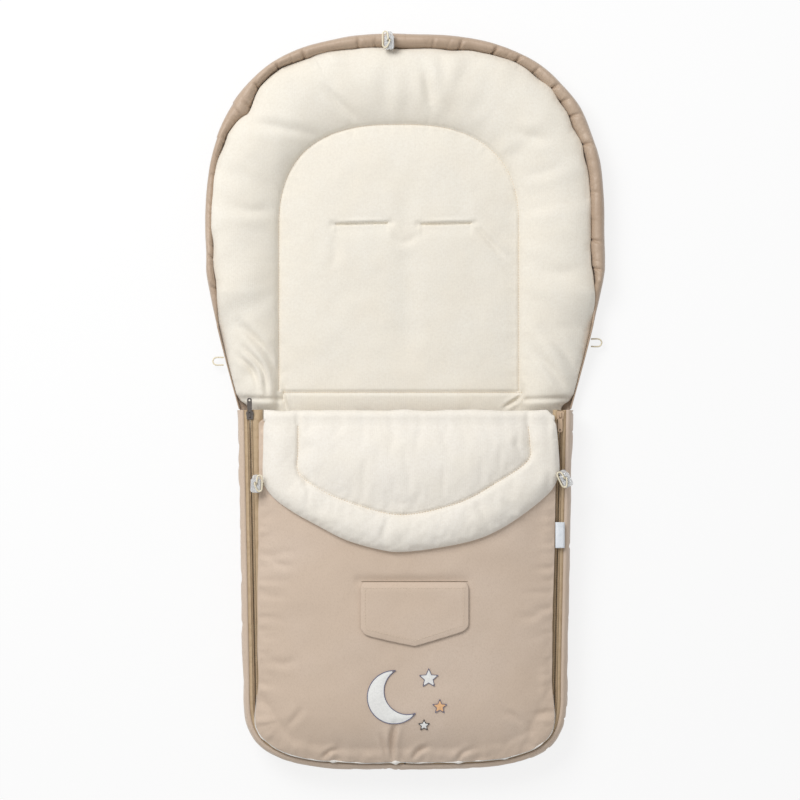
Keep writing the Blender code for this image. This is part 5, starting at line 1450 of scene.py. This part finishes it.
def build_tape(name, replaced, path, ways, way):
    """One woven tape; the inner one goes on under the front's edge."""
    rings = []
    for spot, turn in zip(path, ways):
        far = TAPE_WIDTH if way < 0 else max(TAPE_WIDTH, float(front_inset(*spot)) - ZIP_INSET + 0.005)
        profile = [(0.0007, -0.0005), (far, -0.0005), (far, 0.0005), (0.0007, 0.0005)]
        rings.append([(*(spot + turn * (ZIP_INSET + way * out)), ZIP_HEIGHT + up) for out, up in profile])
    worn(rings_object(name, rings, FINISHES["tape"]), "bag", "zip_tape", replaced)


def build_coil(side, path, ways, way):
    """The teeth of one stringer: a flattened nylon spiral, and the seam that sews it to its tape, in a dark
    thread whose darkness also paints the shade line beside the coil.
    """
    count = int(length_of(path) / 0.0022) * 8
    shares = np.linspace(0, 1, count + 1)
    sides = np.stack([np.interp(shares, np.linspace(0, 1, len(ways)), w) for w in ways.T], 1)
    turns = np.arange(count + 1) * 2 * math.pi / 8
    across = ZIP_INSET + way * (0.0013 + 0.0009 * np.cos(turns))
    spine = evenly(path, count) + sides * across[:, None]
    points = np.column_stack([spine, ZIP_HEIGHT + 0.0009 * np.sin(turns)])
    worn(tube("zip_coil_" + side, points, 0.00036, FINISHES["coil"], sides=4), "bag", "zip_tape")
    # The dark seam line beside the coil: a real seam, and also a painted shade line along the coil's edge
    beside = path + ways * (ZIP_INSET + way * 0.0031)
    line = evenly(np.column_stack([beside, np.full(len(path), ZIP_HEIGHT + 0.0006)]), 500)
    sewing_and_shade = tube("zip_seam_shade_" + side, line, 0.00034, FINISHES["shade_dark_thread"], sides=5)
    worn(sewing_and_shade, "bag", "zip_tape")


def build_zips():
    """Woven tapes with a spiral nylon coil along each, from the mouth round to the middle of the foot."""
    path = bag_outline(-0.0119, 1200)
    ways = sideways(path)
    for side, sign in (("right", 1.0), ("left", -1.0)):
        mine = sign * path[:, 0] > 0.0002
        for part, way in (("outer", -1.0), ("inner", 1.0)):
            name = f"{side}_{part}"
            build_tape("zip_tape_" + name, "zip_" + name, path[mine], ways[mine], way)
            build_coil(name, path[mine], ways[mine], way)


# Pocket, felt, tag and piping


def laid_patch(name, outline, height, thickness, step, finish, puff=0.0, levels=0):
    """A small sewn-on piece of cloth, with thickness, that follows the height below it."""

    def top(co):
        return height(co) + thickness + puff * eased(gap_to(co, outline, closed=True) / 0.006)

    made = cloth_patch(name, outline, top, step, finish)
    if levels:
        refine(made, levels)
    walled(made, lambda point: Vector((point.x, point.y, point.z - thickness)), sharp=False)
    return made


def crescent(x, y, radius, bite, shift, facing):
    """A disc with a smaller disc bitten out of it."""
    turn = math.radians(facing)
    centre = np.array([x, y])
    bite_centre = centre + shift * np.array([math.cos(turn), math.sin(turn)])
    horn = math.acos((radius**2 + shift**2 - bite**2) / (2 * radius * shift))
    reach = radius * math.cos(horn) - shift
    inner = math.atan2(radius * math.sin(horn), reach)
    outer_turns = turn + np.linspace(horn, 2 * math.pi - horn, 60)
    inner_turns = turn - np.linspace(inner, 2 * math.pi - inner, 44)[1:-1]
    outer = centre + radius * np.stack([np.cos(outer_turns), np.sin(outer_turns)], 1)
    bitten = bite_centre + bite * np.stack([np.cos(inner_turns), np.sin(inner_turns)], 1)
    return np.concatenate([outer, bitten])


def star(x, y, radius):
    """A star of five points."""
    turns = math.pi / 2 + math.pi * np.arange(10) / 5
    reach = radius * np.where(np.arange(10) % 2 == 0, 1.0, 0.45)
    return np.stack([x + reach * np.cos(turns), y + reach * np.sin(turns)], 1)


def draped(surface, line, lift, beside=0.07):
    """Points of a plan line laid on a finished surface; beside is the height where there is none."""
    return np.column_stack([line, surface.over(line, beside) + lift])


def satin(name, outline, surface, finish, width=0.0011):
    """A raised satin-stitched line round an applique."""
    closed = np.concatenate([outline, outline[:2]])
    line = evenly(closed, max(int(len(closed) * 3), 80))
    worn(tube(name, draped(surface, line, 0.0012), width / 2, finish, sides=6), "bag", "felt")


def build_pocket(surface):
    """The pocket's pointed cover with its stitches, its seam, and the welt of its mouth below; the seam's
    dark line is also a painted shadow at the cover's top edge.
    """
    middle = POCKET_OFFSET
    left, right = middle - POCKET_HALF_WIDTH, middle + POCKET_HALF_WIDTH
    edge = [(left, POCKET_Y), (left, -0.2600), (left, -0.2915), (left + 0.0030, -0.2955)]
    edge += [(left + 0.0070, -0.2970), (middle - 0.034, -0.3040), (middle, -0.3110)]
    edge += [(middle + 0.034, -0.3010), (right - 0.0070, -0.2925), (right - 0.0020, -0.2890)]
    edge += [(right, -0.2850), (right, -0.2600), (right, POCKET_Y)]

    def on_front(co):
        return surface.over(co, 0.07)

    def off_front(co):
        return on_front(co) + 0.0014

    cover = laid_patch(
        "pocket_cover", evenly(edge, 220), off_front, 0.0020, 0.0040, FINISHES["twill"], 0.0010, 2
    )
    worn(cover, "pocket_cover", "cloth", "pocket_flap")
    top = Surface(cover)
    inner = [(left + 0.006, POCKET_Y - 0.008), (left + 0.006, -0.2890), (middle, -0.3040)]
    inner += [(right - 0.006, -0.2840), (right - 0.006, POCKET_Y - 0.008)]
    across = [(left + 0.002, POCKET_Y - 0.0075), (right - 0.002, POCKET_Y - 0.0075)]
    for name, line in (("topstitch", evenly(inner, 200)), ("top_topstitch", evenly(across, 120))):
        row = stitches("pocket_" + name, draped(top, line, 0.0001), FINISHES["topstitch"], 0.0012, 0.00036)
        worn(row, "pocket_cover", "cloth")
    # A dark thread along the pocket's top seam: a real seam, and also a painted shadow line where the front
    # dips down to the cover's top edge
    line = evenly([(left + 0.001, POCKET_Y + 0.0007), (right - 0.001, POCKET_Y + 0.0007)], 80)
    seam = tube("pocket_seam_shade_line", draped(surface, line, 0.0001), 0.00035, FINISHES["shade_dark_thread"], sides=6)
    worn(seam, "bag", "cloth")
    mouth = evenly([(-0.045, -0.2350), (-0.045, -0.2450), (0.069, -0.2450), (0.069, -0.2350)], 90)
    welt = laid_patch("pocket_mouth", mouth, on_front, 0.0007, 0.0030, FINISHES["twill"], levels=1)
    worn(welt, "bag", "cloth", "pocket_welt")


def build_felt(surface):
    """A plain moon and three stars in felt, edged in satin stitch."""

    def on_front(co):
        return surface.over(co, 0.07)

    moon = crescent(-0.014, -0.376, 0.034, 0.030, 0.019, 25.0)
    made = laid_patch("moon", moon, on_front, 0.0012, 0.0010, FINISHES["felt"], 0.0006)
    worn(made, "bag", "felt", "felt_moon")
    satin("moon_edge", moon, surface, FINISHES["satin"])
    for i, (x, y, radius, face, edge) in enumerate(STARS, 1):
        shape = star(x, y, radius)
        outline = evenly(np.concatenate([shape, shape[:1]]), 60)[:-1]
        made = laid_patch(f"star_{i}", outline, on_front, 0.0012, 0.0008, FINISHES[face], 0.0004)
        worn(made, "bag", "felt", f"felt_star_{i}")
        satin(f"star_edge_{i}", outline, surface, FINISHES[edge], 0.0009)


def build_tag():
    """The blank woven tag, folded over the right zip."""
    profile = [(0.1922, 0.0580), (0.1950, 0.0585), (0.1978, 0.0580), (0.2010, 0.0574), (0.2042, 0.0566)]
    rings = []
    for y in np.linspace(-0.155, -0.188, 24):
        rise = 0.0004 * wave(y, 0.010, 71)
        upper = [(x, y, z + rise + 0.0007) for x, z in profile]
        lower = [(x, y, z + rise) for x, z in profile[::-1]]
        rings.append(upper + lower)
    worn(rings_object("blank_tag", rings, FINISHES["tag"]), "bag", "tag", "side_tag")


def build_piping():
    """The white piping round the foot, unevenly drawn by its seam."""
    outline = front_outline(1500)
    foot = outline[:, 1] < -0.376
    path, ways = outline[foot], sideways(outline)[foot]
    s = np.linspace(0, 1, len(path))
    run = s * 0.50
    out = 0.0004 + 0.0006 * wave(run, 0.017, 82)
    plan = path - ways * out[:, None]
    height = 0.0556 + 0.0004 * wave(run, 0.02, 83)
    radii = 0.0011 * (1 + 0.35 * wave(run, 0.010, 84)) * np.clip(np.minimum(s, 1 - s) * 8, 0.15, 1)
    for place, tuck in ((-0.092, 0.0016), (-0.012, 0.0024), (0.069, 0.0014), (0.128, 0.0010)):
        radii = radii + tuck * bell(plan[:, 0] - place, 0.0040)
    cord = tube("foot_piping_cord", np.column_stack([plan, height]), radii, FINISHES["piping"])
    worn(cord, "bag", "elastic", "foot_piping")


def seam_stitches(name, points, radius):
    """A row of the thread that sews the fleece's seams."""
    return stitches(name, points, FINISHES["thread"], 0.0009, radius)


def build_seam_stitches(mat_surface, flap_surface, flap_seam):
    """Threads along the seams that show."""
    line = draped(mat_surface, evenly(back_seam(0.012), 1400), 0.0001, SEAM_HEIGHT)
    bent(seam_stitches("back_seam_stitches", line, 0.00034), "cloth")
    across = np.column_stack([np.linspace(*SEAT_SEAM, 500), np.full(500, SEAT_SEAM_Y)])
    line = draped(mat_surface, across, 0.0002, SEAM_HEIGHT)
    bent(seam_stitches("seat_crease_stitches", line, 0.00036), "cloth")
    line = draped(flap_surface, flap_seam[flap_seam[:, 1] < FOLD_Y - 0.004], 0.0001, 0.075)
    worn(seam_stitches("flap_seam_stitches", line, 0.00032), "flap", "fleece")


build_camera()
build_world(0.65)
area_light("key", (-1.0, 1.3, 2.0), (0.0, 0.0, 0.0), 1.3, 42.0)
build_floor()
build_cords()
paint_rigid_nodes()
mat_surface = build_lining()
build_underside()
build_leg_fleece()
build_rim()
build_gusset()
front_surface = build_front_pad()
build_front_inside()
flap_edge = evenly(rounded(FLAP_EDGE_POINTS, 14), 360)
flap_seam = evenly(rounded(FLAP_SEAM_POINTS, 14), 240)
flap_surface, at_fold = build_flap_fleece(flap_edge, flap_seam)
build_flap_twill(flap_edge)
build_fold_roll(*at_fold)
build_zips()
build_pocket(front_surface)
build_felt(front_surface)
build_tag()
build_piping()
build_seam_stitches(mat_surface, flap_surface, flap_seam)

bpy.context.scene.view_settings.view_transform = "Standard"
